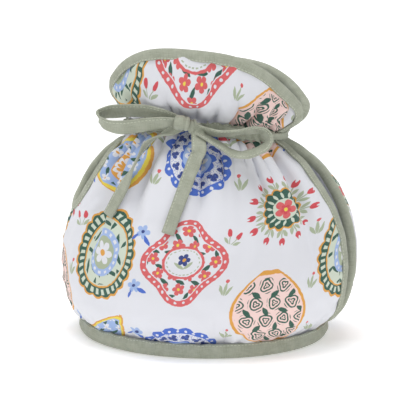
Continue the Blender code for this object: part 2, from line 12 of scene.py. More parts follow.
import bpy
import numpy as np
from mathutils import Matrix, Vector

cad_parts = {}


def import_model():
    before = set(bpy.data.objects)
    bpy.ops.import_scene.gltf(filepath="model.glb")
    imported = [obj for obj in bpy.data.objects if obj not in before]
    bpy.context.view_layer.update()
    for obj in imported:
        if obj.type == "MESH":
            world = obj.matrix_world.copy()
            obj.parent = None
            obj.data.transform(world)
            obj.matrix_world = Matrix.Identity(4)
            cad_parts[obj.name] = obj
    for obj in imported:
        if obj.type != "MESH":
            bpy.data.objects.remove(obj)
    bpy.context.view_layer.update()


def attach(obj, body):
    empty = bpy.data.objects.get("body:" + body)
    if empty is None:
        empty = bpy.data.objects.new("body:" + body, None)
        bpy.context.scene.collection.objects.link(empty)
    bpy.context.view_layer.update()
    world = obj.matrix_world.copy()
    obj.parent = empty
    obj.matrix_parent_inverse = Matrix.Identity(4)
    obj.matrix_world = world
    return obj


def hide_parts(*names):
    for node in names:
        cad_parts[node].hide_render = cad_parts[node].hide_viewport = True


Array = np.ndarray
Colour = tuple[float, float, float]
Rows = tuple[tuple[float, ...], ...]
# the least side that a sheet's worked-out flat size takes, in metres
LEAST_SIDE = 0.0101
log = logging.getLogger("tea_cosy")


def eased(share: Array) -> Array:
    """A rise from 0 to 1 with level ends."""
    share = np.clip(share, 0.0, 1.0)
    return share * share * (3 - 2 * share)


def linear(shown: tuple[int, int, int]) -> Colour:
    """The light of a colour given as it is shown, out of 255."""
    shares = (part / 255 for part in shown)
    return tuple(x / 12.92 if x <= 0.04045 else ((x + 0.055) / 1.055) ** 2.4 for x in shares)


def unit(vectors: Array) -> Array:
    """The vectors at length 1."""
    return vectors / np.maximum(np.linalg.norm(vectors, axis=-1, keepdims=True), 1e-12)


def read_table(rows: Rows, place: Array) -> Array:
    """Reads a table on a smooth curve through its rows.

    Args:
        rows: The table, with the place in its first column.
        place: The places to read at.

    Returns:
        The later columns at each place, on one more axis.
    """
    table = np.array(rows, float)
    keys, values = table[:, 0], table[:, 1:]
    slopes = np.empty_like(values)
    slopes[1:-1] = (values[2:] - values[:-2]) / (keys[2:] - keys[:-2])[:, None]
    slopes[0] = (values[1] - values[0]) / (keys[1] - keys[0])
    slopes[-1] = (values[-1] - values[-2]) / (keys[-1] - keys[-2])
    place = np.asarray(place, float)
    i = np.clip(np.searchsorted(keys, place, side="right") - 1, 0, len(keys) - 2)
    span = (keys[i + 1] - keys[i])[..., None]
    t = (place - keys[i])[..., None] / span
    return (
        (2 * t**3 - 3 * t**2 + 1) * values[i]
        + (t**3 - 2 * t**2 + t) * span * slopes[i]
        + (3 * t**2 - 2 * t**3) * values[i + 1]
        + (t**3 - t**2) * span * slopes[i + 1]
    )


def route_of(rows: Rows, steps: int) -> Array:
    """Points evenly spaced by share on a smooth curve through the rows of a route."""
    numbered = tuple((index, *row) for index, row in enumerate(rows))
    return read_table(numbered, np.linspace(0, len(rows) - 1, steps + 1))


def respaced(points: Array, values: Array, spacing: float) -> Array:
    """Reads values evenly along a line.

    Args:
        points: The line's points.
        values: The values at those points.
        spacing: The length between readings.

    Returns:
        The values at even lengths along the line.
    """
    along = np.concatenate([[0], np.cumsum(np.linalg.norm(np.diff(points, axis=0), axis=1))])
    count = max(3, round(along[-1] / spacing))
    places = np.linspace(0, along[-1], count + 1)
    return np.stack([np.interp(places, along, column) for column in values.T], axis=1)


def ripple(seed: int, waves: int, shortest: float, longest: float, *places: Array) -> Array:
    """An uneven wave of about -1 to 1, made of plain waves in scattered directions.

    Args:
        seed: Picks the waves.
        waves: How many waves are added.
        shortest: The shortest wavelength, in the unit of the places.
        longest: The longest wavelength.
        places: One array, or two for a surface.

    Returns:
        The height of the wave at each place.
    """
    chance = np.random.default_rng(seed)
    total = np.zeros(np.shape(places[0]))
    for _ in range(waves):
        length, heading, start = chance.uniform(shortest, longest), *chance.uniform(0, 2 * math.pi, 2)
        across = places[0] * (math.cos(heading) if len(places) > 1 else 1.0)
        if len(places) > 1:
            across = across + places[1] * math.sin(heading)
        total += np.sin(2 * math.pi * across / length + start)
    return total / math.sqrt(waves)


@dataclass(frozen=True)
class Wall:
    """The middle of the cosy's padded wall, by turn and height."""

    axis_x: float = -0.0065
    axis_y: float = 0.0010
    thickness: float = 0.0045
    neck: float = 0.1665
    neck_top: float = 0.1740
    panel_foot: float = 0.0040
    slit_foot: float = 0.0240
    spout_centre: float = 0.1295
    spout_half_height: float = 0.0225
    spout_half_width: float = 0.0105
    seam_half_gap: float = 0.00012
    gathers: int = 17
    gather_depth: float = 0.0022
    gather_foot: float = 0.1590
    fade_below: float = 0.022
    fade_above: float = 0.018
    rise: float = 0.0125
    rise_foot: float = 0.0950
    rise_top: float = 0.2150
    # height, reach left, right, front and back, turn of the spout seam and of the handle slit
    sections: Rows = (
        (0.004, 0.0930, 0.0940, 0.0840, 0.0840, 190, -2),
        (0.0125, 0.0937, 0.0950, 0.0847, 0.0847, 190, -2),
        (0.0165, 0.0970, 0.0995, 0.0880, 0.0875, 191, -2),
        (0.0208, 0.1015, 0.1062, 0.0925, 0.0915, 191, -2),
        (0.033, 0.1075, 0.1150, 0.0980, 0.0970, 192, -2),
        (0.054, 0.1110, 0.1210, 0.1020, 0.1000, 194, -3),
        (0.072, 0.1105, 0.1220, 0.1010, 0.0990, 197, -3),
        (0.092, 0.1060, 0.1195, 0.0965, 0.0940, 200, -3),
        (0.112, 0.0985, 0.1125, 0.0865, 0.0840, 202, -3),
        (0.130, 0.0890, 0.1020, 0.0745, 0.0730, 202, -3),
        (0.144, 0.0775, 0.0895, 0.0620, 0.0610, 200, -2),
        (0.154, 0.0655, 0.0754, 0.0490, 0.0480, 196, -1),
        (0.1595, 0.0580, 0.0658, 0.0410, 0.0400, 192, 0),
        (0.163, 0.0555, 0.0626, 0.0380, 0.0370, 190, 0),
        (0.1665, 0.0550, 0.0620, 0.0375, 0.0365, 188, 0),
        (0.170, 0.0555, 0.0642, 0.0382, 0.0371, 187, 0),
        (0.1735, 0.0575, 0.0692, 0.0400, 0.0386, 186, 0),
        (0.177, 0.0602, 0.0752, 0.0422, 0.0402, 185, 0),
        (0.182, 0.0645, 0.0822, 0.0448, 0.0422, 185, 0),
        (0.190, 0.0700, 0.0860, 0.0480, 0.0445, 184, 0),
        (0.200, 0.0735, 0.0862, 0.0490, 0.0450, 184, 0),
        (0.215, 0.0745, 0.0840, 0.0480, 0.0435, 184, 0),
        (0.240, 0.0690, 0.0775, 0.0415, 0.0380, 184, 0),
    )
    # height, half the width of the handle slit
    slit: Rows = (
        (0.020, 0.0033),
        (0.026, 0.0035),
        (0.040, 0.0055),
        (0.060, 0.0075),
        (0.085, 0.0085),
        (0.110, 0.0095),
        (0.135, 0.0110),
        (0.150, 0.0080),
        (0.160, 0.0050),
        (0.1665, 0.0042),
        (0.175, 0.0050),
        (0.185, 0.0080),
        (0.200, 0.0105),
        (0.240, 0.0110),
    )
    # turn, half width in degrees, depth, foot, top
    folds: Rows = (
        (226, 11, 0.0045, 0.060, 0.168),
        (250, 12, 0.0020, 0.100, 0.168),
        (287, 10, 0.0028, 0.105, 0.168),
        (311, 11, 0.0034, 0.085, 0.168),
        (334, 10, 0.0020, 0.100, 0.165),
        (240, 15, 0.0026, 0.172, 0.222),
        (287, 15, 0.0030, 0.172, 0.226),
        (322, 14, 0.0026, 0.172, 0.222),
        (40, 12, 0.0030, 0.090, 0.168),
        (72, 13, 0.0040, 0.070, 0.168),
        (103, 11, 0.0026, 0.100, 0.168),
        (132, 13, 0.0036, 0.080, 0.168),
        (158, 10, 0.0022, 0.105, 0.165),
        (62, 16, 0.0028, 0.172, 0.214),
        (118, 16, 0.0030, 0.172, 0.214),
    )

    def turn_apart(self, turn: Array, other: Array) -> Array:
        """The smaller angle between two turns."""
        return np.abs((turn - other + 180) % 360 - 180)

    def stillness(self, turn: Array, height: Array, section: Array) -> Array:
        """1 on open cloth, falling to 0 beside the slits, where tapes hold the wall smooth.

        Args:
            turn: The turn about the axis.
            height: The height.
            section: The row of `sections` at that height.

        Returns:
            A share of 0 to 1.
        """
        from_handle = self.turn_apart(turn, section[..., 5]) - 15
        from_spout = self.turn_apart(turn, section[..., 4]) - 12
        near_hole = eased(1.6 - np.abs(height - self.spout_centre) / self.spout_half_height)
        return eased(from_handle / 14) * (1 - near_hole * (1 - eased(from_spout / 12)))

    def draw_in(self, turn: Array, height: Array, section: Array) -> Array:
        """How far the gathers and the main folds draw the wall in.

        Args:
            turn: The turn about the axis.
            height: The height.
            section: The row of `sections` at that height.

        Returns:
            The distance inward.
        """
        below = np.maximum(0.0, self.gather_foot - height) / self.fade_below
        above = np.maximum(0.0, height - self.neck_top) / self.fade_above
        angle = np.radians(turn)
        wave = 0.5 - 0.5 * np.cos(self.gathers * angle + 0.35 * np.sin(5 * angle))
        total = self.gather_depth * np.exp(-below * below - above * above) * wave
        for fold_turn, half_width, depth, foot, top in self.folds:
            across = self.turn_apart(turn, fold_turn) / half_width
            inside = (across < 1) & (height > foot) & (height < top)
            along = np.sin(math.pi * np.clip((height - foot) / (top - foot), 0, 1))
            total = total + np.where(inside, depth * along * np.cos(across * math.pi / 2) ** 2, 0.0)
        return total * self.stillness(turn, height, section)

    def front_rise(self, height: Array) -> Array:
        """How far the tie lifts the cloth at the front, where the bow is.

        Args:
            height: The height.

        Returns:
            The lift straight in front.
        """
        below = (height - self.rise_foot) / (self.neck - self.rise_foot)
        above = (self.rise_top - height) / (self.rise_top - self.neck)
        return self.rise * eased(np.where(height < self.neck, below, above))

    def point(self, turn: Array, height: Array, smooth: bool = False) -> Array:
        """A point of the wall's middle.

        Args:
            turn: The turn about the axis.
            height: The height, before the tie lifts the front.
            smooth: Leaves out the gathers and folds.

        Returns:
            The point, on one more axis.
        """
        turn, height = np.broadcast_arrays(np.asarray(turn, float), np.asarray(height, float))
        section = read_table(self.sections, height)
        cos, sin = np.cos(np.radians(turn)), np.sin(np.radians(turn))
        reach_x = np.where(cos > 0, section[..., 1], section[..., 0])
        reach_y = np.where(sin > 0, section[..., 3], section[..., 2])
        level = height + self.front_rise(height) * np.maximum(0.0, -sin) ** 2
        inward = 0.0 if smooth else self.draw_in(turn, height, section)
        x = self.axis_x + (reach_x - inward) * cos
        y = self.axis_y + (reach_y - inward) * sin
        return np.stack([x, y, level], axis=-1)

    def slopes(self, turn: Array, height: Array, smooth: bool = False) -> tuple[Array, Array]:
        """How the wall's point moves with a degree of turn and with a metre of height.

        Args:
            turn: The turn about the axis.
            height: The height.
            smooth: Leaves out the gathers and folds.

        Returns:
            The move a degree and the move a metre.
        """
        turn_step, height_step = 0.2, 0.0004
        after, before = (self.point(turn + move, height, smooth) for move in (turn_step, -turn_step))
        above, below = (self.point(turn, height + move, smooth) for move in (height_step, -height_step))
        return (after - before) / (2 * turn_step), (above - below) / (2 * height_step)

    def normal(self, turn: Array, height: Array, smooth: bool = False) -> Array:
        """The wall's outward direction."""
        return unit(np.cross(*self.slopes(turn, height, smooth)))

    def slid(self, turn: Array, height: Array, move: Array, steps: int = 3) -> tuple[Array, Array]:
        """The turn and height reached from a place on the wall by a move along it.

        Args:
            turn: The turn set out from.
            height: The height set out from.
            move: The move, as a vector.
            steps: How many shorter moves it is made in.

        Returns:
            The turn and the height reached.
        """
        for _ in range(steps):
            across, upward = self.slopes(turn, height)
            aa, ab, bb = (across**2).sum(-1), (across * upward).sum(-1), (upward**2).sum(-1)
            am, bm = (across * move).sum(-1) / steps, (upward * move).sum(-1) / steps
            scale = aa * bb - ab * ab
            turn = turn + (bb * am - ab * bm) / scale
            height = height + (aa * bm - ab * am) / scale
        return turn, height

    def degrees_for(self, distance: Array, turn: Array, height: Array) -> Array:
        """The turn that a level distance along the wall takes up."""
        return distance / np.linalg.norm(self.slopes(turn, height, True)[0], axis=-1)

    def spout_half_gap(self, height: Array) -> Array:
        """Half the opening between the panels on the spout side.

        Args:
            height: The height.

        Returns:
            The distance from the seam to the edge.
        """
        share = (height - self.spout_centre) / self.spout_half_height
        hole = self.spout_half_width * np.sqrt(np.maximum(0.0, 1 - share * share))
        return np.maximum(self.seam_half_gap, hole)

    def handle_half_gap(self, height: Array) -> Array:
        """Half the opening between the panels on the handle side."""
        open_gap = read_table(self.slit, height)[..., 0]
        return np.where(height > self.slit_foot, open_gap, self.seam_half_gap)


WALL = Wall()


def made_mesh(
    name: str,
    corners: Array,
    faces: Array,
    uvs: Array,
    uv_faces: Array,
    materials: Sequence[bpy.types.Material],
    slots: Array,
) -> bpy.types.Object:
    """Makes an object from arrays, with its faces turned outward.

    Args:
        name: The piece's name.
        corners: The corners' places.
        faces: Four corners a face.
        uvs: Places in flat cloth, in metres.
        uv_faces: Four of those a face.
        materials: The piece's materials.
        slots: Which material each face takes.

    Returns:
        The new object.
    """
    a, b, c, d = (corners[faces[:, k]] for k in range(4))
    volume = (a * np.cross(b, c)).sum() + (a * np.cross(c, d)).sum()
    if volume < 0:
        faces, uv_faces = faces[:, ::-1], uv_faces[:, ::-1]
    mesh = bpy.data.meshes.new(name)
    mesh.from_pydata(corners.tolist(), [], faces.tolist())
    layer = mesh.uv_layers.new(name="cloth")
    layer.data.foreach_set("uv", uvs[uv_faces].astype(np.float32).ravel())
    for material in materials:
        mesh.materials.append(material)
    mesh.polygons.foreach_set("material_index", slots.astype(np.int32))
    mesh.shade_smooth()
    mesh.update()
    piece = bpy.data.objects.new(name, mesh)
    bpy.context.scene.collection.objects.link(piece)
    return piece


def grid_faces(rows: int, columns: int, wide: int, ring: bool) -> Array:
    """The corners of a grid's faces.

    Args:
        rows: How many rows of points there are.
        columns: How many points a row holds.
        wide: How many corners a row has in the list.
        ring: Joins the last column to the first.

    Returns:
        Four corners a face.
    """
    last = columns if ring else columns - 1
    row, column = np.meshgrid(np.arange(rows - 1), np.arange(last), indexing="ij")
    after = (column + 1) % wide
    corners = [row * wide + column, row * wide + after, (row + 1) * wide + after, (row + 1) * wide + column]
    return np.stack(corners, axis=-1).reshape(-1, 4)


def normals_of(middle: Array, ring: bool) -> Array:
    """The normals of a grid of points, rows by columns.

    Args:
        middle: The points.
        ring: The rows close on themselves.

    Returns:
        A normal for each point.
    """
    if ring:
        across = np.roll(middle, -1, axis=1) - np.roll(middle, 1, axis=1)
    else:
        across = np.gradient(middle, axis=1)
    return unit(np.cross(across, np.gradient(middle, axis=0)))


def thick_cloth(
    name: str,
    middle: Array,
    thickness: Union[float, Array],
    uvs: Array,
    materials: Sequence[bpy.types.Material],
    ring: bool = False,
) -> bpy.types.Object:
    """Makes a closed sheet of cloth about a grid of points.

    Args:
        name: The piece's name.
        middle: The grid, rows by columns by three.
        thickness: The cloth's thickness, or one at each point.
        uvs: Places in flat cloth; a ring has one more column of them.
        materials: One material, or the outer and the inner one.
        ring: Whether the last column joins the first.

    Returns:
        The new object.
    """
    rows, columns = middle.shape[:2]
    half = normals_of(middle, ring) * (np.broadcast_to(thickness, (rows, columns))[..., None] / 2)
    corners = np.concatenate([(middle + half).reshape(-1, 3), (middle - half).reshape(-1, 3)])
    outer = grid_faces(rows, columns, columns, ring)
    uv_wide = uvs.shape[1]
    uv_outer = grid_faces(rows, uv_wide, uv_wide, False)
    layer, uv_layer = rows * columns, rows * uv_wide
    inner, uv_inner = outer[:, ::-1] + layer, uv_outer[:, ::-1] + uv_layer
    edges, uv_edges = [], []
    for line, uv_line in edge_lines(rows, columns, uv_wide, ring):
        a, b, ua, ub = line[:-1], line[1:], uv_line[:-1], uv_line[1:]
        edges.append(np.stack([b, a, a + layer, b + layer], axis=1))
        uv_edges.append(np.stack([ub, ua, ua + uv_layer, ub + uv_layer], axis=1))
    faces = np.concatenate([outer, inner, *edges])
    uv_faces = np.concatenate([uv_outer, uv_inner, *uv_edges])
    slots = np.zeros(len(faces), int)
    slots[len(outer) : 2 * len(outer)] = len(materials) - 1
    flat = uvs.reshape(-1, 2)
    return made_mesh(name, corners, faces, np.concatenate([flat, flat]), uv_faces, materials, slots)


def edge_lines(rows: int, columns: int, uv_wide: int, ring: bool) -> list[tuple[Array, Array]]:
    """The corners along each free edge of a grid, in order round it, with those of its flat cloth.

    Args:
        rows: How many rows there are.
        columns: How many points a row holds.
        uv_wide: How many flat places a row has.
        ring: The rows close on themselves.

    Returns:
        The corners and the flat places of each line.
    """
    across, uv_across = np.arange(columns), np.arange(uv_wide)
    if ring:
        across = np.append(across, 0)
    top, uv_top = (rows - 1) * columns, (rows - 1) * uv_wide
    lines = [(across, uv_across), ((across + top)[::-1], (uv_across + uv_top)[::-1])]
    if not ring:
        up = np.arange(rows)
        lines.append((up * columns + columns - 1, up * uv_wide + uv_wide - 1))
        lines.append(((up * columns)[::-1], (up * uv_wide)[::-1]))
    return lines


def flat_places(middle: Array, ring: bool) -> Array:
    """Flat-cloth places of a tape: its length along the columns and its width up the rows.

    Args:
        middle: The points, rows by columns.
        ring: The rows close on themselves.

    Returns:
        A flat place for each point, with one more column for a ring.
    """
    closed = np.concatenate([middle, middle[:, :1]], axis=1) if ring else middle
    centre = closed[closed.shape[0] // 2]
    along = np.concatenate([[0], np.cumsum(np.linalg.norm(np.diff(centre, axis=0), axis=1))])
    steps = np.linalg.norm(np.diff(closed, axis=0), axis=2).mean(axis=1)
    width = np.concatenate([[0], np.cumsum(steps)])
    return np.stack(np.broadcast_arrays(along[None, :], width[:, None]), axis=-1)


class Slot(Enum):
    """The record's material slots."""

    PRINT = "print_cloth"
    GREEN = "green_cloth"


class Held(Enum):
    """How a sheet of cloth is held."""

    GATHERED = "gathered"
    FOLDED = "folded"


def cloth_of(piece: bpy.types.Object, uvs: Array, held: Held, *rests_on: str) -> None:
    """Works out the flat width, length and area of a sheet of cloth, and keeps none of them.

    Args:
        piece: The sheet. Not used.
        uvs: Its places in flat cloth, rows by columns.
        held: How it is held. Not used.
        rests_on: What it is sewn to or lies on. Not used.
    """
    across, up = np.ptp(uvs[..., 0]), np.ptp(uvs[..., 1])
    rows = np.ptp(uvs[..., 0], axis=1)
    area = float(((rows[1:] + rows[:-1]) / 2 * np.abs(np.diff(uvs[..., 1].mean(axis=1)))).sum())
    width, length = sorted((max(LEAST_SIDE, float(across)), max(LEAST_SIDE, float(up))))
    area = min(area, width * length)


def joined_in(piece: bpy.types.Object, slot: Slot, *nodes: str) -> None:
    """Rides a piece on the cosy's one body and hides the nodes that it stands for.

    Args:
        piece: The piece.
        slot: Its slot. Not used.
        nodes: The nodes that it stands for.
    """
    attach(piece, "root")
    if nodes:
        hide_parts(*nodes)
    log.info("%s: %d faces", piece.name, len(piece.data.polygons))


@dataclass
class PaddedPanel:
    """One of the two padded panels, from its foot in the hem to the rim of its frill lobe."""

    name: str
    node: str
    sign: int
    rim: Rows
    columns: int = 190
    body_rows: int = 104
    frill_rows: int = 44
    edge_share: float = 0.66
    edge_reach: float = 0.013
    tuck_depth: float = 0.0021
    seam_depth: float = 0.0021
    ridge_share: float = 0.12
    dent_depth: float = 0.0011
    rumple_depth: float = 0.0003
    hem_pucker: float = 0.0008
    edge_pucker: float = 0.00055
    fullness: float = 0.38
    # how far the tucks run below and above the gathers, and where the puckers lie
    tucks_below: float = 0.017
    tucks_above: float = 0.011
    still_share: float = 0.09
    hem_line: float = 0.019
    edge_line: float = 0.0105
    cloth_width: float = 0.33
    # turn, half width in degrees, depth, reach below the neck, or above it if negative
    pulls: Rows = (
        (210, 3.0, 0.0036, 0.045),
        (220, 3.5, 0.0046, 0.070),
        (231, 5.0, 0.0095, 0.135),
        (242, 3.0, 0.0034, 0.040),
        (251, 4.2, 0.0075, 0.110),
        (261, 3.0, 0.0040, 0.050),
        (282, 3.8, 0.0078, 0.120),
        (291, 2.6, 0.0062, 0.050),
        (299, 3.4, 0.0036, 0.090),
        (305, 2.2, 0.0046, 0.030),
        (312, 2.8, 0.0080, 0.062),
        (319, 2.8, 0.0040, 0.044),
        (330, 4.6, 0.0088, 0.135),
        (342, 3.2, 0.0036, 0.060),
        (226, 4.0, 0.0044, -0.036),
        (241, 4.0, 0.0036, -0.026),
        (257, 4.2, 0.0046, -0.040),
        (276, 4.0, 0.0050, -0.034),
        (288, 3.4, 0.0042, -0.026),
        (300, 3.4, 0.0056, -0.048),
        (311, 3.2, 0.0062, -0.040),
        (322, 3.4, 0.0052, -0.034),
        (334, 4.0, 0.0040, -0.028),
        (28, 3.4, 0.0044, 0.060),
        (41, 3.8, 0.0058, 0.105),
        (54, 3.2, 0.0044, 0.050),
        (66, 3.6, 0.0062, 0.110),
        (79, 3.2, 0.0044, 0.055),
        (92, 3.6, 0.0058, 0.085),
        (106, 3.4, 0.0046, 0.060),
        (119, 3.8, 0.0062, 0.115),
        (134, 3.6, 0.0046, 0.060),
        (148, 3.8, 0.0052, 0.080),
        (36, 4.0, 0.0042, -0.028),
        (60, 4.2, 0.0052, -0.036),
        (84, 4.0, 0.0042, -0.028),
        (110, 4.2, 0.0054, -0.036),
        (138, 4.0, 0.0044, -0.028),
    )

    def turn_at(self, across: Array, height: Array) -> Array:
        """The turn at a share of the way across the panel, from the spout seam to the handle edge.

        Args:
            across: The share of the way.
            height: The height.

        Returns:
            The turn.
        """
        section = read_table(WALL.sections, height)
        spout, handle = section[..., 4], section[..., 5]
        start = spout + self.sign * WALL.degrees_for(WALL.spout_half_gap(height), spout, height)
        end = handle + (360 if self.sign > 0 else 0)
        end = end - self.sign * WALL.degrees_for(WALL.handle_half_gap(height), handle, height)
        return start + (end - start) * across

    def rim_at(self, across: Array) -> tuple[Array, Array]:
        """The share across and the height of the rim that a column of the panel reaches.

        Args:
            across: The column's share across.

        Returns:
            The share and the height.
        """
        numbered = tuple((index, *row) for index, row in enumerate(self.rim))
        found = read_table(numbered, across * (len(self.rim) - 1))
        return found[..., 0], found[..., 1]

    def levels(self) -> Array:
        """The heights of the body's rows, closer together where the wall curves most.

        Returns:
            The heights, from the foot up.
        """
        even = np.linspace(0, 1, self.body_rows + 1)
        heights = np.linspace(WALL.panel_foot, WALL.neck_top, 400)
        middle = WALL.point(np.full_like(heights, 250.0), heights, True)
        length = np.concatenate([[0], np.cumsum(np.linalg.norm(np.diff(middle, axis=0), axis=1))])
        return np.interp(even * length[-1], length, heights)

    def grid(self) -> tuple[Array, Array, Array]:
        """The panel's grid: its shares across, turns and heights, rows by columns.

        Returns:
            The shares, the turns and the heights.
        """
        across = np.linspace(0, 1, self.columns + 1)
        levels = self.levels()
        body_across, body_height = np.meshgrid(across, levels)
        rim_across, rim_height = self.rim_at(across)
        share = np.linspace(0, 1, self.frill_rows + 1)[1:, None]
        frill_height = WALL.neck_top + (rim_height - WALL.neck_top) * share
        frill_across = across + (rim_across - across) * share
        shares = np.concatenate([body_across, frill_across])
        heights = np.concatenate([body_height, frill_height])
        return shares, self.turn_at(shares, heights), heights

    def creases(self, shares: Array, turns: Array, heights: Array, span: Array) -> Array:
        """How far the fine gathers, puckers and soft dents push the cloth out.

        Args:
            shares: The shares across.
            turns: The turns.
            heights: The heights.
            span: The panel's width at each place.

        Returns:
            The distance outward.
        """
        angle = np.radians(turns)
        below = np.maximum(0.0, WALL.gather_foot - heights) / self.tucks_below
        above = np.maximum(0.0, heights - WALL.neck_top) / self.tucks_above
        gather = np.exp(-below * below - above * above)
        fine = np.abs(np.sin(21 * angle + 1.3 * np.sin(3 * angle + 1) + 0.8 * np.sin(8 * angle)))
        uneven = 0.6 + 0.4 * ripple(5, 4, 0.3, 1.1, angle)
        out = -self.tuck_depth * gather * (1 - fine) * uneven
        open_cloth = eased(shares / self.still_share) * eased((1 - shares) / self.still_share)
        for pull_turn, half_width, depth, reach in self.pulls:
            away = (WALL.gather_foot - heights) if reach > 0 else (heights - WALL.neck_top)
            run = np.clip(away / abs(reach), -1.0, 1.0)
            across = (turns - pull_turn + 180) % 360 - 180
            spread = half_width * (0.78 + 0.5 * np.maximum(run, 0))
            drift = across - 1.6 * math.sin(pull_turn) * np.maximum(run, 0)
            valley = np.exp(-((drift / spread) ** 2))
            ridge = np.exp(-(((np.abs(drift) - 1.9 * spread) / spread) ** 2))
            fade = np.where(run < 0, np.exp(-((run * abs(reach) / 0.0075) ** 2)), 1 - eased(run))
            out -= depth * (valley - self.ridge_share * ridge) * fade * open_cloth
        across = shares * self.cloth_width
        out += self.dent_depth * open_cloth * ripple(11, 7, 0.045, 0.095, across, heights * 0.55)
        out += self.rumple_depth * open_cloth * ripple(12, 9, 0.014, 0.030, across, heights)
        near_hem = np.exp(-(((heights - self.hem_line) / 0.008) ** 2))
        out += self.hem_pucker * near_hem * ripple(13, 5, 0.010, 0.022, across)
        from_edge = np.minimum(shares, 1 - shares) * span
        beside = np.exp(-(((from_edge - self.edge_line) / 0.004) ** 2))
        out += self.edge_pucker * beside * ripple(14, 5, 0.009, 0.018, heights)
        return out

    def build(self, outside: bpy.types.Material, inside: bpy.types.Material) -> None:
        """Builds the panel's cloth with its print outside and its lining inside.

        Args:
            outside: The printed cloth.
            inside: The lining.
        """
        shares, turns, heights = self.grid()
        middle = WALL.point(turns, heights)
        rows, columns = heights.shape
        steps = np.linalg.norm(np.diff(middle, axis=1), axis=2)
        crossed = np.concatenate([np.zeros((rows, 1)), np.cumsum(steps, axis=1)], axis=1)
        span = np.repeat(crossed[:, -1:], columns, axis=1)
        crossed = crossed - span / 2
        upward = np.linalg.norm(np.diff(middle, axis=0), axis=2)
        climbed = np.concatenate([np.zeros((1, columns)), np.cumsum(upward, axis=0)])
        to_rim = climbed[-1] - climbed
        order = slice(None) if self.sign > 0 else slice(None, None, -1)
        shares, turns, heights, middle, span = (x[:, order] for x in (shares, turns, heights, middle, span))
        climbed, to_rim, crossed = climbed[:, order], to_rim[:, order], crossed[:, order]
        out = self.creases(shares, turns, heights, span)
        from_handle = (1 - shares) * span
        from_spout = shares * span
        closed_seam = (WALL.spout_half_gap(heights) < 2 * WALL.seam_half_gap) & (heights < WALL.neck)
        out -= np.where(closed_seam, self.seam_depth * np.exp(-((from_spout / 0.0026) ** 2)), 0.0)
        middle = middle + normals_of(middle, False) * out[..., None]
        edge = np.minimum(to_rim, np.where(heights > WALL.slit_foot, from_handle, 1.0))
        edge = np.minimum(edge, np.where(closed_seam, 1.0, from_spout))
        hem = np.abs(heights - WALL.panel_foot)
        press = np.minimum(eased(edge / self.edge_reach), 0.35 + 0.65 * eased(hem / 0.016))
        thickness = WALL.thickness * (self.edge_share + (1 - self.edge_share) * press)
        gathered = 1 + self.fullness * np.exp(-(((heights - WALL.neck) / 0.022) ** 2))
        along = np.broadcast_to(climbed.mean(axis=1)[:, None], shares.shape)
        uvs = np.stack([crossed * gathered * self.sign, along], axis=-1)
        piece = thick_cloth(self.name, middle, thickness, uvs, (outside, inside))
        cloth_of(piece, uvs, Held.GATHERED, "hem_band")
        joined_in(piece, Slot.PRINT, self.node)

    def edge_route(self) -> tuple[Array, Array]:
        """Turns and heights up the handle edge and over the rim to the spout seam.

        Returns:
            The turns and the heights.
        """
        corner = float(self.rim[-1][1])
        heights = np.linspace(WALL.slit_foot, corner, 240)
        across = np.linspace(1, 0, 400)[1:]
        rim_across, rim_height = self.rim_at(across)
        up_edge, over_rim = self.turn_at(np.ones_like(heights), heights), self.turn_at(rim_across, rim_height)
        return np.concatenate([up_edge, over_rim]), np.concatenate([heights, rim_height])


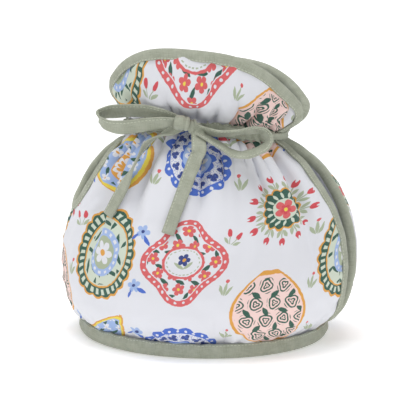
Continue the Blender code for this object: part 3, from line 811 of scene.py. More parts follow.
@dataclass
class Stitching:
    """Runs of short stitches, each a small rounded bar of thread."""

    name: str = "stitches"
    length: float = 0.0021
    pitch: float = 0.0029
    radius: float = 0.00027
    sides: int = 6
    # share along a stitch, share of its radius
    bar: Rows = ((0.0, 0.30), (0.14, 0.85), (0.5, 1.0), (0.86, 0.85), (1.0, 0.30))
    corners: list[Array] = field(default_factory=list)
    flats: list[Array] = field(default_factory=list)

    def sew(self, middle: Array, share: float, tape: float, ring: bool, outward: bool) -> None:
        """Sews one run of stitches along a tape.

        Args:
            middle: The tape's grid, rows across it by columns along it.
            share: The run's share of the way up the rows.
            tape: The tape's thickness.
            ring: Whether the tape joins itself.
            outward: Whether the run is on the side away from the cosy's axis.
        """
        place = share * (len(middle) - 1)
        low = min(int(place), len(middle) - 2)
        normals = normals_of(middle, ring)
        line = middle[low] + (middle[low + 1] - middle[low]) * (place - low)
        out = unit(normals[low] + (normals[low + 1] - normals[low]) * (place - low))
        away = line * np.array([1, 1, 0]) - np.array([WALL.axis_x, WALL.axis_y, 0])
        if ((out * unit(away)).sum(-1).mean() > 0) != outward:
            out = -out
        if ring:
            line, out = np.concatenate([line, line[:1]]), np.concatenate([out, out[:1]])
        even = respaced(line, np.concatenate([line, out], axis=1), self.pitch)
        starts, ends = even[:-1, :3], even[1:, :3]
        out = unit(even[:-1, 3:] + even[1:, 3:])
        along = unit(ends - starts)
        out = unit(out - along * (along * out).sum(-1, keepdims=True))
        aside = np.cross(along, out)
        base = (starts + ends) / 2 + out * (tape / 2 + self.radius * 0.25) - along * self.length / 2
        around = np.linspace(0, 2 * math.pi, self.sides, endpoint=False)
        cos, sin = np.cos(around)[:, None], np.sin(around)[:, None]
        bar = np.array(self.bar)
        ring_out = aside[:, None, None] * cos + out[:, None, None] * sin
        points = base[:, None, None] + along[:, None, None] * (bar[:, 0] * self.length)[:, None, None]
        points = points + ring_out * (bar[:, 1] * self.radius)[:, None, None]
        self.corners.append(points.reshape(-1, 3))
        flat = np.broadcast_to(
            np.stack(np.broadcast_arrays((bar[:, 0] * self.length)[:, None], around * self.radius), axis=-1),
            (len(starts), len(bar), self.sides, 2),
        )
        self.flats.append(flat.reshape(-1, 2))

    def build(self, thread: bpy.types.Material) -> None:
        """Builds every stitch sewn so far as one piece.

        Args:
            thread: The thread's material.
        """
        corners, flats = np.concatenate(self.corners), np.concatenate(self.flats)
        rings, sides = len(self.bar), self.sides
        tube = grid_faces(rings, sides, sides, True)
        first, last = np.arange(sides), np.arange(sides) + (rings - 1) * sides
        caps = [[first[3], first[2], first[1], first[0]], [first[5], first[4], first[3], first[0]]]
        caps += [[last[0], last[1], last[2], last[3]], [last[0], last[3], last[4], last[5]]]
        one = np.concatenate([tube, np.array(caps)])
        starts = np.arange(len(corners) // (rings * sides)) * rings * sides
        faces = (one[None] + starts[:, None, None]).reshape(-1, 4)
        piece = made_mesh(self.name, corners, faces, flats, faces, (thread,), np.zeros(len(faces), int))
        joined_in(piece, Slot.GREEN)


@dataclass
class FoldedTape:
    """Tape folded over an edge of the wall, with the row of stitches along its edge."""

    name: str
    node: str
    spacing: float = 0.0024
    tape: float = 0.0010
    # share round the fold, depth over the cloth, distance from the wall's middle
    fold: Rows = (
        (0.00, 0.0068, 0.00225),
        (0.08, 0.0058, 0.00265),
        (0.20, 0.0040, 0.00325),
        (0.32, 0.0016, 0.00350),
        (0.42, -0.0006, 0.00280),
        (0.50, -0.0017, 0.00000),
        (0.58, -0.0006, -0.00280),
        (0.68, 0.0016, -0.00350),
        (0.80, 0.0040, -0.00325),
        (0.92, 0.0058, -0.00265),
        (1.00, 0.0068, -0.00225),
    )
    rows: int = 18
    stitch_share: float = 0.085
    puff: float = 0.05
    edge_wave: float = 0.00018

    def over_edge(self, turns: Array, heights: Array, along: Array, depth: Array, side: Array) -> Array:
        """Points of the folded tape beside stations of the edge.

        Args:
            turns: The stations' turns.
            heights: The stations' heights.
            along: The direction of the edge there.
            depth: How deep over the cloth the points lie.
            side: How far out from the wall's middle they lie.

        Returns:
            A point for each station.
        """
        normal = WALL.normal(turns, heights)
        inward = unit(np.cross(normal, along))
        beyond = WALL.point(turns, heights) + inward * depth[:, None] + normal * side[:, None]
        place = WALL.slid(turns, heights, inward * np.maximum(depth, 0)[:, None])
        over = WALL.point(*place) + WALL.normal(*place) * side[:, None]
        return np.where((depth <= 0)[:, None], beyond, over)

    def stations(self, turns: Array, heights: Array) -> tuple[Array, Array]:
        """Stations evenly spaced along an edge."""
        even = respaced(WALL.point(turns, heights), np.stack([turns, heights], axis=1), self.spacing)
        return even[:, 0], even[:, 1]

    def build(
        self, turns: Array, heights: Array, ring: bool, cloth: bpy.types.Material, stitching: Stitching
    ) -> None:
        """Builds the folded tape along an edge given by its turns and heights.

        Args:
            turns: The edge's turns.
            heights: The edge's heights.
            ring: The edge closes on itself.
            cloth: The tape's cloth.
            stitching: Takes the stitches that hold it.
        """
        turns, heights = self.stations(turns, heights)
        if ring:
            turns, heights = turns[:-1], heights[:-1]
        points = WALL.point(turns, heights)
        if ring:
            along = unit(np.roll(points, -1, axis=0) - np.roll(points, 1, axis=0))
        else:
            along = unit(np.gradient(points, axis=0))
        fold = read_table(self.fold, np.linspace(0, 1, self.rows + 1))
        places = np.arange(len(turns)) * self.spacing
        middle = []
        for depth, side in fold:
            puff = 1 + self.puff * ripple(21, 4, 0.012, 0.035, places) * (1 if side >= 0 else -1)
            wave = self.edge_wave * ripple(22, 4, 0.010, 0.022, places)
            depths = np.full(len(turns), depth) + wave * (depth > 0)
            middle.append(self.over_edge(turns, heights, along, depths, side * puff))
        middle = np.stack(middle)
        stitching.sew(middle, self.stitch_share, self.tape, ring, True)
        stitching.sew(middle, 1 - self.stitch_share, self.tape, ring, False)
        uvs = flat_places(middle, ring)
        piece = thick_cloth(self.name, middle, self.tape, uvs, (cloth,), ring)
        cloth_of(piece, uvs, Held.FOLDED, "front_panel", "back_panel")
        joined_in(piece, Slot.GREEN, self.node)


@dataclass
class HemBand:
    """The wide tape folded round the foot of both panels, flat where it stands."""

    name: str = "hem_tape"
    node: str = "hem_band"
    columns: int = 300
    tape: float = 0.0015
    rows: int = 22
    # share round the fold, height, distance out, how level it points
    fold: Rows = (
        (0.00, 0.0131, 0.0031, 0.0),
        (0.07, 0.0118, 0.0044, 0.6),
        (0.17, 0.0092, 0.0054, 1.0),
        (0.28, 0.0058, 0.0058, 1.0),
        (0.37, 0.0026, 0.0050, 1.0),
        (0.44, 0.00085, 0.0033, 1.0),
        (0.56, 0.00085, -0.0033, 1.0),
        (0.63, 0.0026, -0.0050, 1.0),
        (0.72, 0.0058, -0.0056, 1.0),
        (0.83, 0.0090, -0.0052, 1.0),
        (0.93, 0.0112, -0.0042, 0.6),
        (1.00, 0.0124, -0.0030, 0.0),
    )
    stitch_share: float = 0.10
    sway: float = 0.00035
    rise: float = 0.0004

    def ring_point(self, turns: Array, height: Array, side: Array, level: float) -> Array:
        """Points of a level tape round the wall.

        Args:
            turns: The turns.
            height: The height at each turn.
            side: The distance from the wall's middle.
            level: 1 to point level, 0 to point as the wall does.

        Returns:
            A point for each turn.
        """
        base = WALL.point(turns, height, True)
        normal = WALL.normal(turns, height, True)
        normal[..., 2] *= 1 - level
        return base + unit(normal) * np.asarray(side)[..., None]

    def build(self, cloth: bpy.types.Material, stitching: Stitching) -> None:
        """Builds the hem tape.

        Args:
            cloth: The tape's cloth.
            stitching: Takes the stitches that hold it.
        """
        turns = np.linspace(0, 360, self.columns, endpoint=False)
        around = np.radians(turns)
        fold = read_table(self.fold, np.linspace(0, 1, self.rows + 1))
        middle = []
        for height, side, level in fold:
            lifted = eased((height - 0.002) / 0.004)
            sway = self.sway * lifted * ripple(31, 5, 0.09, 0.30, around)
            rise = self.rise * lifted * ripple(32, 5, 0.10, 0.26, around)
            middle.append(self.ring_point(turns, height + rise, side + sway, float(level)))
        middle = np.stack(middle)
        stitching.sew(middle, self.stitch_share, self.tape, True, True)
        uvs = flat_places(middle, True)
        piece = thick_cloth(self.name, middle, self.tape, uvs, (cloth,), True)
        cloth_of(piece, uvs, Held.FOLDED, "front_panel", "back_panel")
        joined_in(piece, Slot.GREEN, self.node)


@dataclass
class Casing:
    """A stretch of the gathered tape that the tie runs in."""

    name: str
    node: str
    start: float
    end: float
    # how much lower its top edge lies than the fold says
    droop: float = 0.0
    # the tape that a degree of turn is reckoned to take up
    degree: float = 0.00105
    tape: float = 0.0009
    spacing: float = 0.0011
    rib_depth: float = 0.0009
    ruffle_depth: float = 0.0014
    edge_wave: float = 0.0010
    stitch_share: float = 0.12
    # share across, height, distance out, how level it points
    fold: Rows = (
        (0.00, 0.1581, 0.0040, 0.2),
        (0.16, 0.1600, 0.0042, 0.3),
        (0.30, 0.1624, 0.0077, 1.0),
        (0.50, 0.1664, 0.0085, 1.0),
        (0.70, 0.1704, 0.0077, 1.0),
        (0.84, 0.1728, 0.0042, 0.3),
        (1.00, 0.1744, 0.0038, 0.2),
    )
    rows: int = 14

    def build(self, cloth: bpy.types.Material, hem: HemBand, stitching: Stitching) -> None:
        """Builds the casing with its ribs and ruffled edges.

        Args:
            cloth: The tape's cloth.
            hem: Places points round the wall.
            stitching: Takes the stitches that hold it.
        """
        length = self.degree * abs(self.end - self.start)
        columns = round(length / self.spacing) + 1
        turns = np.linspace(self.start, self.end, columns)
        places = np.linspace(0, length, columns)
        rib = ripple(41, 5, 0.0042, 0.0090, places)
        ruffle = ripple(42, 4, 0.0050, 0.0100, places)
        shares = np.linspace(0, 1, self.rows + 1)
        fold = read_table(self.fold, shares)
        middle = []
        for share, (height, side, level) in zip(shares, fold):
            edge = abs(2 * share - 1) ** 3
            body = 1 - edge
            out = side + self.rib_depth * body * rib + self.ruffle_depth * edge * np.maximum(ruffle, -0.6)
            up = height - self.droop * share + math.copysign(self.edge_wave, share - 0.5) * edge * rib
            middle.append(hem.ring_point(turns, up, out, float(level)))
        middle = np.stack(middle)
        for share in (self.stitch_share, 1 - self.stitch_share):
            stitching.sew(middle, share, self.tape, False, True)
        uvs = flat_places(middle, False)
        piece = thick_cloth(self.name, middle, self.tape, uvs, (cloth,))
        cloth_of(piece, uvs, Held.GATHERED, "front_panel", "back_panel")
        joined_in(piece, Slot.GREEN, self.node)


@dataclass
class Tie:
    """The tie: its run round the neck, the knot, two loops and two free ends."""

    name: str = "tie_tape"
    node: str = "tie"
    tape: float = 0.0013
    across: int = 8
    knot_x: float = 0.0017
    knot_out: float = 0.0118
    turn: float = 17.0
    tip: float = 14.0
    run_side: float = 0.0054
    run_half: float = 0.0027
    slit_clearance: float = 0.0019
    stitch_share: float = 0.84
    cup: float = 0.0007
    edge_wave: float = 0.00035
    # across, up and forward in the bow's frame, turn and tilt of the tape's width, width
    left_loop: Rows = (
        (-0.0030, 0.0046, -0.0012, 90, 50, 0.0070),
        (-0.0126, 0.0090, -0.0025, 90, 50, 0.0085),
        (-0.0216, 0.0112, -0.0048, 90, 46, 0.0100),
        (-0.0306, 0.0125, -0.0080, 91, 40, 0.0112),
        (-0.0426, 0.0132, -0.0120, 91, 34, 0.0118),
        (-0.0556, 0.0126, -0.0165, 92, 34, 0.0118),
        (-0.0640, 0.0116, -0.0180, 95, 40, 0.0118),
        (-0.0688, 0.0098, -0.0168, 100, 46, 0.0118),
        (-0.0698, 0.0074, -0.0135, 108, 48, 0.0118),
        (-0.0672, 0.0040, -0.0090, 106, 44, 0.0118),
        (-0.0606, 0.0009, -0.0050, 98, 38, 0.0118),
        (-0.0516, -0.0002, -0.0018, 92, 30, 0.0118),
        (-0.0426, 0.0005, 0.0004, 89, 28, 0.0118),
        (-0.0326, 0.0020, 0.0020, 87, 30, 0.0116),
        (-0.0216, 0.0034, 0.0028, 88, 34, 0.0104),
        (-0.0126, 0.0042, 0.0030, 90, 42, 0.0085),
        (-0.0045, 0.0044, 0.0030, 90, 45, 0.0070),
    )
    right_loop: Rows = (
        (0.0072, 0.0003, 0.0020, 95, 40, 0.0060),
        (0.0176, -0.0036, 0.0074, 95, 56, 0.0090),
        (0.0274, -0.0050, 0.0122, 92, 66, 0.0104),
        (0.0384, -0.0042, 0.0154, 88, 70, 0.0110),
        (0.0464, -0.0032, 0.0174, 88, 70, 0.0112),
        (0.0552, -0.0021, 0.0192, 80, 69, 0.0114),
        (0.0602, -0.0038, 0.0205, 52, 60, 0.0118),
        (0.0637, -0.0070, 0.0222, 26, 58, 0.0118),
        (0.0648, -0.0105, 0.0238, 8, 58, 0.0118),
        (0.0636, -0.0139, 0.0250, -16, 57, 0.0118),
        (0.0600, -0.0174, 0.0256, -40, 57, 0.0118),
        (0.0534, -0.0204, 0.0252, -62, 59, 0.0118),
        (0.0468, -0.0220, 0.0240, -78, 62, 0.0118),
        (0.0402, -0.0222, 0.0222, -98, 64, 0.0118),
        (0.0336, -0.0196, 0.0192, -118, 68, 0.0116),
        (0.0268, -0.0153, 0.0155, -122, 68, 0.0110),
        (0.0172, -0.0095, 0.0105, -124, 66, 0.0095),
        (0.0090, -0.0045, 0.0060, -124, 60, 0.0070),
    )
    # turn, height, air under it, lean in degrees, width
    left_tail: Rows = (
        (267.5, 0.1660, 0.0100, 10, 0.0060),
        (263.0, 0.1645, 0.0118, 25, 0.0085),
        (258.0, 0.1622, 0.0118, 42, 0.0100),
        (253.5, 0.1588, 0.0108, 54, 0.0108),
        (250.3, 0.1536, 0.0094, 60, 0.0112),
        (248.6, 0.1468, 0.0080, 56, 0.0112),
        (246.5, 0.1391, 0.0060, 36, 0.0112),
        (244.5, 0.1320, 0.0042, 14, 0.0112),
        (242.6, 0.1250, 0.0030, 2, 0.0110),
        (240.2, 0.1160, 0.0022, 0, 0.0108),
        (238.5, 0.1092, 0.0019, 0, 0.0108),
    )
    right_tail: Rows = (
        (277.2, 0.1702, 0.0090, 0, 0.0086),
        (279.4, 0.1625, 0.0112, 0, 0.0108),
        (280.4, 0.1545, 0.0092, 3, 0.0118),
        (279.0, 0.1490, 0.0062, 5, 0.0118),
        (277.6, 0.1434, 0.0040, 4, 0.0116),
        (276.2, 0.1376, 0.0026, 2, 0.0112),
        (275.0, 0.1318, 0.0018, 0, 0.0110),
        (272.2, 0.1165, 0.0015, 0, 0.0104),
        (270.1, 0.1025, 0.0015, 0, 0.0104),
    )
    # across, up and forward in the bow's frame, half width, half depth, half height, slant in degrees
    wraps: Rows = (
        (-0.0040, 0.0032, 0.0014, 0.0060, 0.0066, 0.0056, 10),
        (0.0044, 0.0006, -0.0006, 0.0042, 0.0054, 0.0050, -16),
    )

    def knot(self) -> Array:
        """The knot's middle."""
        return WALL.point(270.0, WALL.neck, True) + np.array([self.knot_x, -self.knot_out, 0.0])

    def frame(self) -> Array:
        """The bow's frame as rows: across, up and forward, turned and tipped to face as the bow does.

        Returns:
            The three directions.
        """
        turn, tip = math.radians(self.turn), math.radians(self.tip)
        across = (math.cos(turn), math.sin(turn), 0.0)
        up = (-math.sin(tip) * math.sin(turn), math.sin(tip) * math.cos(turn), math.cos(tip))
        return np.array([across, up, np.cross(across, up)])

    def ribbon(self, middles: Array, sideways: Array, widths: Array) -> Array:
        """A grid of points across a tape that follows a route.

        Args:
            middles: The route.
            sideways: About the direction of the tape's width.
            widths: The tape's width.

        Returns:
            The grid, rows across the tape by columns along it.
        """
        along = unit(np.gradient(middles, axis=0))
        direction = unit(sideways - along * (along * sideways).sum(-1, keepdims=True))
        face = np.cross(along, direction)
        share = np.linspace(-0.5, 0.5, self.across + 1)[:, None, None]
        cup = self.cup * (4 * share**2 - 0.5)
        length = np.linspace(0, len(middles) * 0.0016, len(middles))
        wave = self.edge_wave * ripple(51, 4, 0.014, 0.035, length)[None, :, None] * (share * 2)
        return middles[None] + direction[None] * widths[None, :, None] * share + face[None] * (cup + wave)

    def loop(self, rows: Rows, steps: int = 110) -> Array:
        """The grid of a bow loop.

        Args:
            rows: The loop's route.
            steps: How many steps it takes.

        Returns:
            The grid of points, rows by columns.
        """
        route = route_of(rows, steps)
        turn, tilt = np.radians(route[:, 3]), np.radians(route[:, 4])
        sideways = np.stack([np.cos(turn) * np.cos(tilt), np.sin(turn) * np.cos(tilt), np.sin(tilt)], axis=1)
        return self.ribbon(self.knot() + route[:, :3] @ self.frame(), sideways @ self.frame(), route[:, 5])

    def tail(self, rows: Rows, steps: int = 60) -> Array:
        """The grid of a free end, which hangs down over the front panel.

        Args:
            rows: The end's route.
            steps: How many steps it takes.

        Returns:
            The grid of points, rows by columns.
        """
        route = route_of(rows, steps)
        normal = WALL.normal(route[:, 0], route[:, 1], True)
        for _ in range(20):
            normal[1:-1] = (normal[:-2] + 2 * normal[1:-1] + normal[2:]) / 4
        normal = unit(normal)
        level = unit(normal * np.array([1, 1, 0]))
        lift = (WALL.thickness / 2 + self.tape / 2 + route[:, 2]) / (normal * level).sum(-1)
        middles = WALL.point(route[:, 0], route[:, 1], True) + level * lift[:, None]
        along = unit(np.gradient(middles, axis=0))
        level = unit(np.cross(along, normal))
        lean = np.radians(route[:, 3])[:, None]
        sideways = level * np.cos(lean) + np.cross(along, level) * np.sin(lean)
        return self.ribbon(middles, sideways, route[:, 4])

    def wrap(self, row: tuple[float, ...], steps: int = 48) -> Array:
        """The grid of tape wrapped round the knot, squarish in section, with a crease along it.

        Args:
            row: Its place, half sizes and slant.
            steps: How many steps go round.

        Returns:
            The grid of points, rows by columns.
        """
        across, up, forward, half_width, half_depth, half_height, slant = row
        around = np.linspace(0, 2 * math.pi, steps, endpoint=False)[None, :]
        share = np.linspace(-1, 1, self.across + 7)[:, None]
        square = (np.abs(np.cos(around)) ** 2.6 + np.abs(np.sin(around)) ** 2.6) ** (-1 / 2.6)
        swell = 1 - 0.16 * np.abs(share) ** 4 - 0.15 * np.exp(-(((share - 0.42) / 0.16) ** 2))
        swell = swell - 0.05 * np.exp(-(((share + 0.35) / 0.12) ** 2)) * (0.5 + 0.5 * np.sin(around))
        local = np.stack(
            np.broadcast_arrays(
                half_width * share * (0.94 + 0.06 * np.cos(2 * around)),
                half_height * swell * square * np.sin(around),
                half_depth * swell * square * np.cos(around),
            ),
            axis=-1,
        )
        cos, sin = math.cos(math.radians(slant)), math.sin(math.radians(slant))
        x, y, z = np.moveaxis(local, -1, 0)
        turned = np.stack([x * cos + y * sin, y * cos - x * sin, z], axis=-1)
        return self.knot() + (np.array([across, up, forward]) + turned) @ self.frame()

    def run(self, hem: HemBand, columns: int = 240) -> Array:
        """The grid of the run round the neck, in the casing.

        Args:
            hem: Places points round the wall.
            columns: How many points go round.

        Returns:
            The grid of points, rows by columns.
        """
        turns = np.linspace(0, 360, columns, endpoint=False)
        side = self.run_side + self.slit_clearance * eased(1 - WALL.turn_apart(turns, 0) / 31)
        heights = WALL.neck + self.run_half * np.linspace(-1, 1, self.across + 1)
        return np.stack([hem.ring_point(turns, np.full(columns, height), side, 1.0) for height in heights])

    def build(self, cloth: bpy.types.Material, hem: HemBand, stitching: Stitching) -> None:
        """Builds the tie's pieces; the run round the neck stands for the node.

        Args:
            cloth: The tape's cloth.
            hem: Places points round the wall.
            stitching: Takes the stitches along its edges.
        """
        parts = {
            "left_loop": (self.loop(self.left_loop), False),
            "right_loop": (self.loop(self.right_loop), False),
            "left_end": (self.tail(self.left_tail), False),
            "right_end": (self.tail(self.right_tail), False),
            "knot_wrap": (self.wrap(self.wraps[0]), True),
            "knot_turn": (self.wrap(self.wraps[1]), True),
        }
        run = self.run(hem)
        uvs = flat_places(run, True)
        piece = thick_cloth(self.name, run, self.tape, uvs, (cloth,), True)
        cloth_of(piece, uvs, Held.GATHERED, "casing_long", "casing_short")
        joined_in(piece, Slot.GREEN, self.node)
        for name, (middle, ring) in parts.items():
            if not ring:
                stitching.sew(middle, self.stitch_share, self.tape, False, True)
                stitching.sew(middle, self.stitch_share, self.tape, False, False)
            uvs = flat_places(middle, ring)
            piece = thick_cloth(name, middle, self.tape, uvs, (cloth,), ring)
            cloth_of(piece, uvs, Held.FOLDED, "tie", "front_panel")
            joined_in(piece, Slot.GREEN)


class Wire:
    """A socket that carries values, with the arithmetic that adds Math nodes."""

    def __init__(self, graph: "Graph", socket: bpy.types.NodeSocket) -> None:
        """Keeps the graph and its socket."""
        self.graph = graph
        self.socket = socket

    def __add__(self, other: "Value") -> "Wire":
        """The sum."""
        return self.graph.math("ADD", self, other)

    def __sub__(self, other: "Value") -> "Wire":
        """The difference."""
        return self.graph.math("SUBTRACT", self, other)

    def __rsub__(self, other: float) -> "Wire":
        """The difference, from the right."""
        return self.graph.math("SUBTRACT", other, self)

    def __mul__(self, other: "Value") -> "Wire":
        """The product."""
        return self.graph.math("MULTIPLY", self, other)

    def __pow__(self, other: "Value") -> "Wire":
        """The power."""
        return self.graph.math("POWER", self, other)

    def __abs__(self) -> "Wire":
        """The size of the value."""
        return self.graph.math("ABSOLUTE", self)

    def floor(self) -> "Wire":
        """The whole number below."""
        return self.graph.math("FLOOR", self)

    def sine(self) -> "Wire":
        """The sine."""
        return self.graph.math("SINE", self)

    def cosine(self) -> "Wire":
        """The cosine."""
        return self.graph.math("COSINE", self)

    def root(self) -> "Wire":
        """The square root."""
        return self.graph.math("SQRT", self)

    def least(self, other: "Value") -> "Wire":
        """The smaller of two."""
        return self.graph.math("MINIMUM", self, other)

    def most(self, other: "Value") -> "Wire":
        """The larger of two."""
        return self.graph.math("MAXIMUM", self, other)

    def wrapped(self, reach: float) -> "Wire":
        """The value brought within reach of 0 by whole steps of twice the reach."""
        return self.graph.math("WRAP", self, reach, -reach)


Value = Union[Wire, float]


class Graph:
    """The nodes of one material."""

    def __init__(self, name: str) -> None:
        """Makes the material.

        Args:
            name: The material's name.
        """
        self.material = bpy.data.materials.new(name)
        self.material.use_nodes = True
        self.tree = self.material.node_tree
        self.shader = self.tree.nodes["Principled BSDF"]

    def feed(self, socket: bpy.types.NodeSocket, value: object) -> None:
        """Links a wire to a socket, or sets the socket's own value.

        Args:
            socket: The socket to feed.
            value: A wire, or a plain value.
        """
        if isinstance(value, Wire):
            self.tree.links.new(value.socket, socket)
        else:
            socket.default_value = value

    def node(
        self,
        kind: str,
        settings: Optional[dict[str, object]] = None,
        inputs: Optional[dict[Union[int, str], object]] = None,
        output: Union[int, str] = 0,
    ) -> Wire:
        """Adds a node.

        Args:
            kind: The node's type.
            settings: Its settings, set first.
            inputs: Values or wires for its sockets.
            output: The socket that is handed back.

        Returns:
            The node's output.
        """
        made = self.tree.nodes.new(kind)
        for key, value in (settings or {}).items():
            setattr(made, key, value)
        for key, value in (inputs or {}).items():
            self.feed(made.inputs[key], value)
        return Wire(self, made.outputs[output])

    def math(self, operation: str, *values: Value) -> Wire:
        """Adds a Math node."""
        return self.node("ShaderNodeMath", {"operation": operation}, dict(enumerate(values)))

    def mix(self, share: Value, first: object, second: object) -> Wire:
        """Mixes two colours.

        Args:
            share: The second colour's share.
            first: The colour at 0.
            second: The colour at 1.

        Returns:
            The mixed colour.
        """
        colours = [value if isinstance(value, Wire) else (*value, 1.0) for value in (first, second)]
        settings = {"data_type": "RGBA", "clamp_factor": True}
        return self.node("ShaderNodeMix", settings, {0: share, 6: colours[0], 7: colours[1]}, 2)

    def cloth_place(self) -> tuple[Wire, Wire]:
        """The place in flat cloth, in metres.

        Returns:
            The place across and the place along.
        """
        place = self.node("ShaderNodeUVMap", {"uv_map": "cloth"})
        parts = self.node("ShaderNodeSeparateXYZ", None, {0: place})
        return parts, Wire(self, parts.socket.node.outputs[1])

    def noise(self, across: Value, along: Value, scale: float, detail: float) -> Wire:
        """Soft noise over a surface, 0 to 1.

        Args:
            across: The place across.
            along: The place along.
            scale: How many clouds a metre holds.
            detail: How many finer layers it has.

        Returns:
            The noise.
        """
        place = self.node("ShaderNodeCombineXYZ", None, {0: across, 1: along})
        inputs = {"Vector": place, "Scale": scale, "Detail": detail}
        return self.node("ShaderNodeTexNoise", {"noise_dimensions": "2D"}, inputs)

    def chance(self, across: Value, along: Value) -> Wire:
        """One even random number for each pair of whole numbers."""
        place = self.node("ShaderNodeCombineXYZ", None, {0: across, 1: along})
        return self.node("ShaderNodeTexWhiteNoise", {"noise_dimensions": "2D"}, {"Vector": place})

    def inside(self, distance: Wire, soft: float = 0.00022) -> Wire:
        """1 where a distance is below 0 and 0 where it is above, with a soft edge."""
        settings = {"operation": "MULTIPLY_ADD", "use_clamp": True}
        return self.node("ShaderNodeMath", settings, {0: distance, 1: -1.0 / soft, 2: 0.5})

    def bump(self, height: Wire, depth: float) -> None:
        """Feeds a height to the shader's normal."""
        inputs = {"Height": height, "Distance": depth, "Strength": 1.0}
        self.feed(self.shader.inputs["Normal"], self.node("ShaderNodeBump", None, inputs))

    def cloth_gloss(self, specular: float, sheen: float) -> None:
        """Sets the weak gloss and the sheen of cloth.

        Args:
            specular: The level of the gloss.
            sheen: The weight of the sheen.
        """
        self.shader.inputs["Specular IOR Level"].default_value = specular
        self.shader.inputs["Sheen Weight"].default_value = sheen
        self.shader.inputs["Sheen Roughness"].default_value = 0.5


class Ink(Enum):
    """The print's colours, as they look on the cloth, red, green and blue out of 255."""

    CLOTH = (226, 227, 233)
    NAVY = (38, 58, 128)
    COBALT = (62, 104, 200)
    SKY = (158, 183, 228)
    CORAL = (216, 92, 94)
    RED = (208, 66, 76)
    PINK = (243, 212, 206)
    FOREST = (30, 84, 66)
    SAGE = (170, 181, 152)
    MINT = (207, 217, 200)
    MUSTARD = (222, 158, 58)
    LEMON = (236, 214, 70)

    @property
    def linear(self) -> Colour:
        """The colour as light."""
        return linear(self.value)


@dataclass(frozen=True)
class Spot:
    """A place in a motif's own frame."""

    x: Wire
    y: Wire

    def turned(self, degrees: float) -> "Spot":
        """The same place in a frame turned by an angle."""
        cos, sin = math.cos(math.radians(degrees)), math.sin(math.radians(degrees))
        return Spot(self.x * cos + self.y * sin, self.y * cos - self.x * sin)

    def moved(self, x: float, y: float) -> "Spot":
        """The same place in a frame moved to a point."""
        return Spot(self.x - x, self.y - y)

    def reach(self) -> Wire:
        """The distance from the frame's middle."""
        return (self.x * self.x + self.y * self.y).root()

    def turn(self) -> Wire:
        """The angle round the frame's middle."""
        return self.x.graph.math("ARCTAN2", self.y, self.x)

    def round(self, count: int, radius: float) -> "Spot":
        """The place in the nearest of several frames set evenly round a circle, each with +Y outward."""
        reach = self.reach()
        return Spot(self.turn().wrapped(math.pi / count) * reach, reach - radius)

    def flower(self, petals: int, radius: float, waist: float = 0.5, start: Value = 0.0) -> Wire:
        """The distance to a flower with rounded petals."""
        petal = abs((self.turn() * (petals / 2) + start).cosine()) ** 0.6
        return self.reach() - (petal * (1 - waist) + waist) * radius

    def leaf(self, length: float, width: float) -> Wire:
        """The distance to a pointed leaf along X."""
        share = self.x * (2 / length)
        return abs(self.y) - (1 - share * share) * (width / 2)

    def disc(self, radius: float) -> Wire:
        """The distance to a disc."""
        return self.reach() - radius

    def oval(self, half_width: float, half_height: float) -> Wire:
        """About the distance to an oval."""
        across, up = self.x * (1 / half_width), self.y * (1 / half_height)
        return ((across * across + up * up).root() - 1) * min(half_width, half_height)


@dataclass
class Printer:
    """Lays one ink over another on a ground."""

    graph: Graph
    colour: Union[Wire, Colour]

    def lay(self, distance: Wire, ink: Ink, within: Optional[Wire] = None) -> None:
        """Lays an ink where a distance is below 0, and within another mask if one is given.

        Args:
            distance: How far a place is outside the shape.
            ink: The ink.
            within: The other mask.
        """
        mask = self.graph.inside(distance)
        if within is not None:
            mask = mask * within
        self.colour = self.graph.mix(mask, self.colour, ink.linear)


@dataclass(frozen=True)
class Cells:
    """A field of small cells, each with its own frame and chance number."""

    spot: Spot
    chance: Wire

    @classmethod
    def over(cls, place: Spot, width: float, height: float, shift: float = 0.0) -> "Cells":
        """Divides the cloth into cells, every other row moved by half a cell.

        Args:
            place: The place in the cloth.
            width: A cell's width.
            height: A cell's height.
            shift: Moves the cells by this share of one.

        Returns:
            The cells.
        """
        graph = place.x.graph
        up = place.y * (1 / height) + shift
        row = up.floor()
        across = place.x * (1 / width) + row * 0.5 + shift
        column = across.floor()
        spot = Spot((across - column - 0.5) * width, (up - row - 0.5) * height)
        return cls(spot, graph.chance(column, row))

    def loosely_turned(self) -> Spot:
        """The cell's frame, turned by its chance number.

        Returns:
            The turned frame.
        """
        angle = self.chance * (2 * math.pi)
        cos, sin = angle.cosine(), angle.sine()
        x, y = self.spot.x, self.spot.y
        return Spot(x * cos + y * sin, y * cos - x * sin)


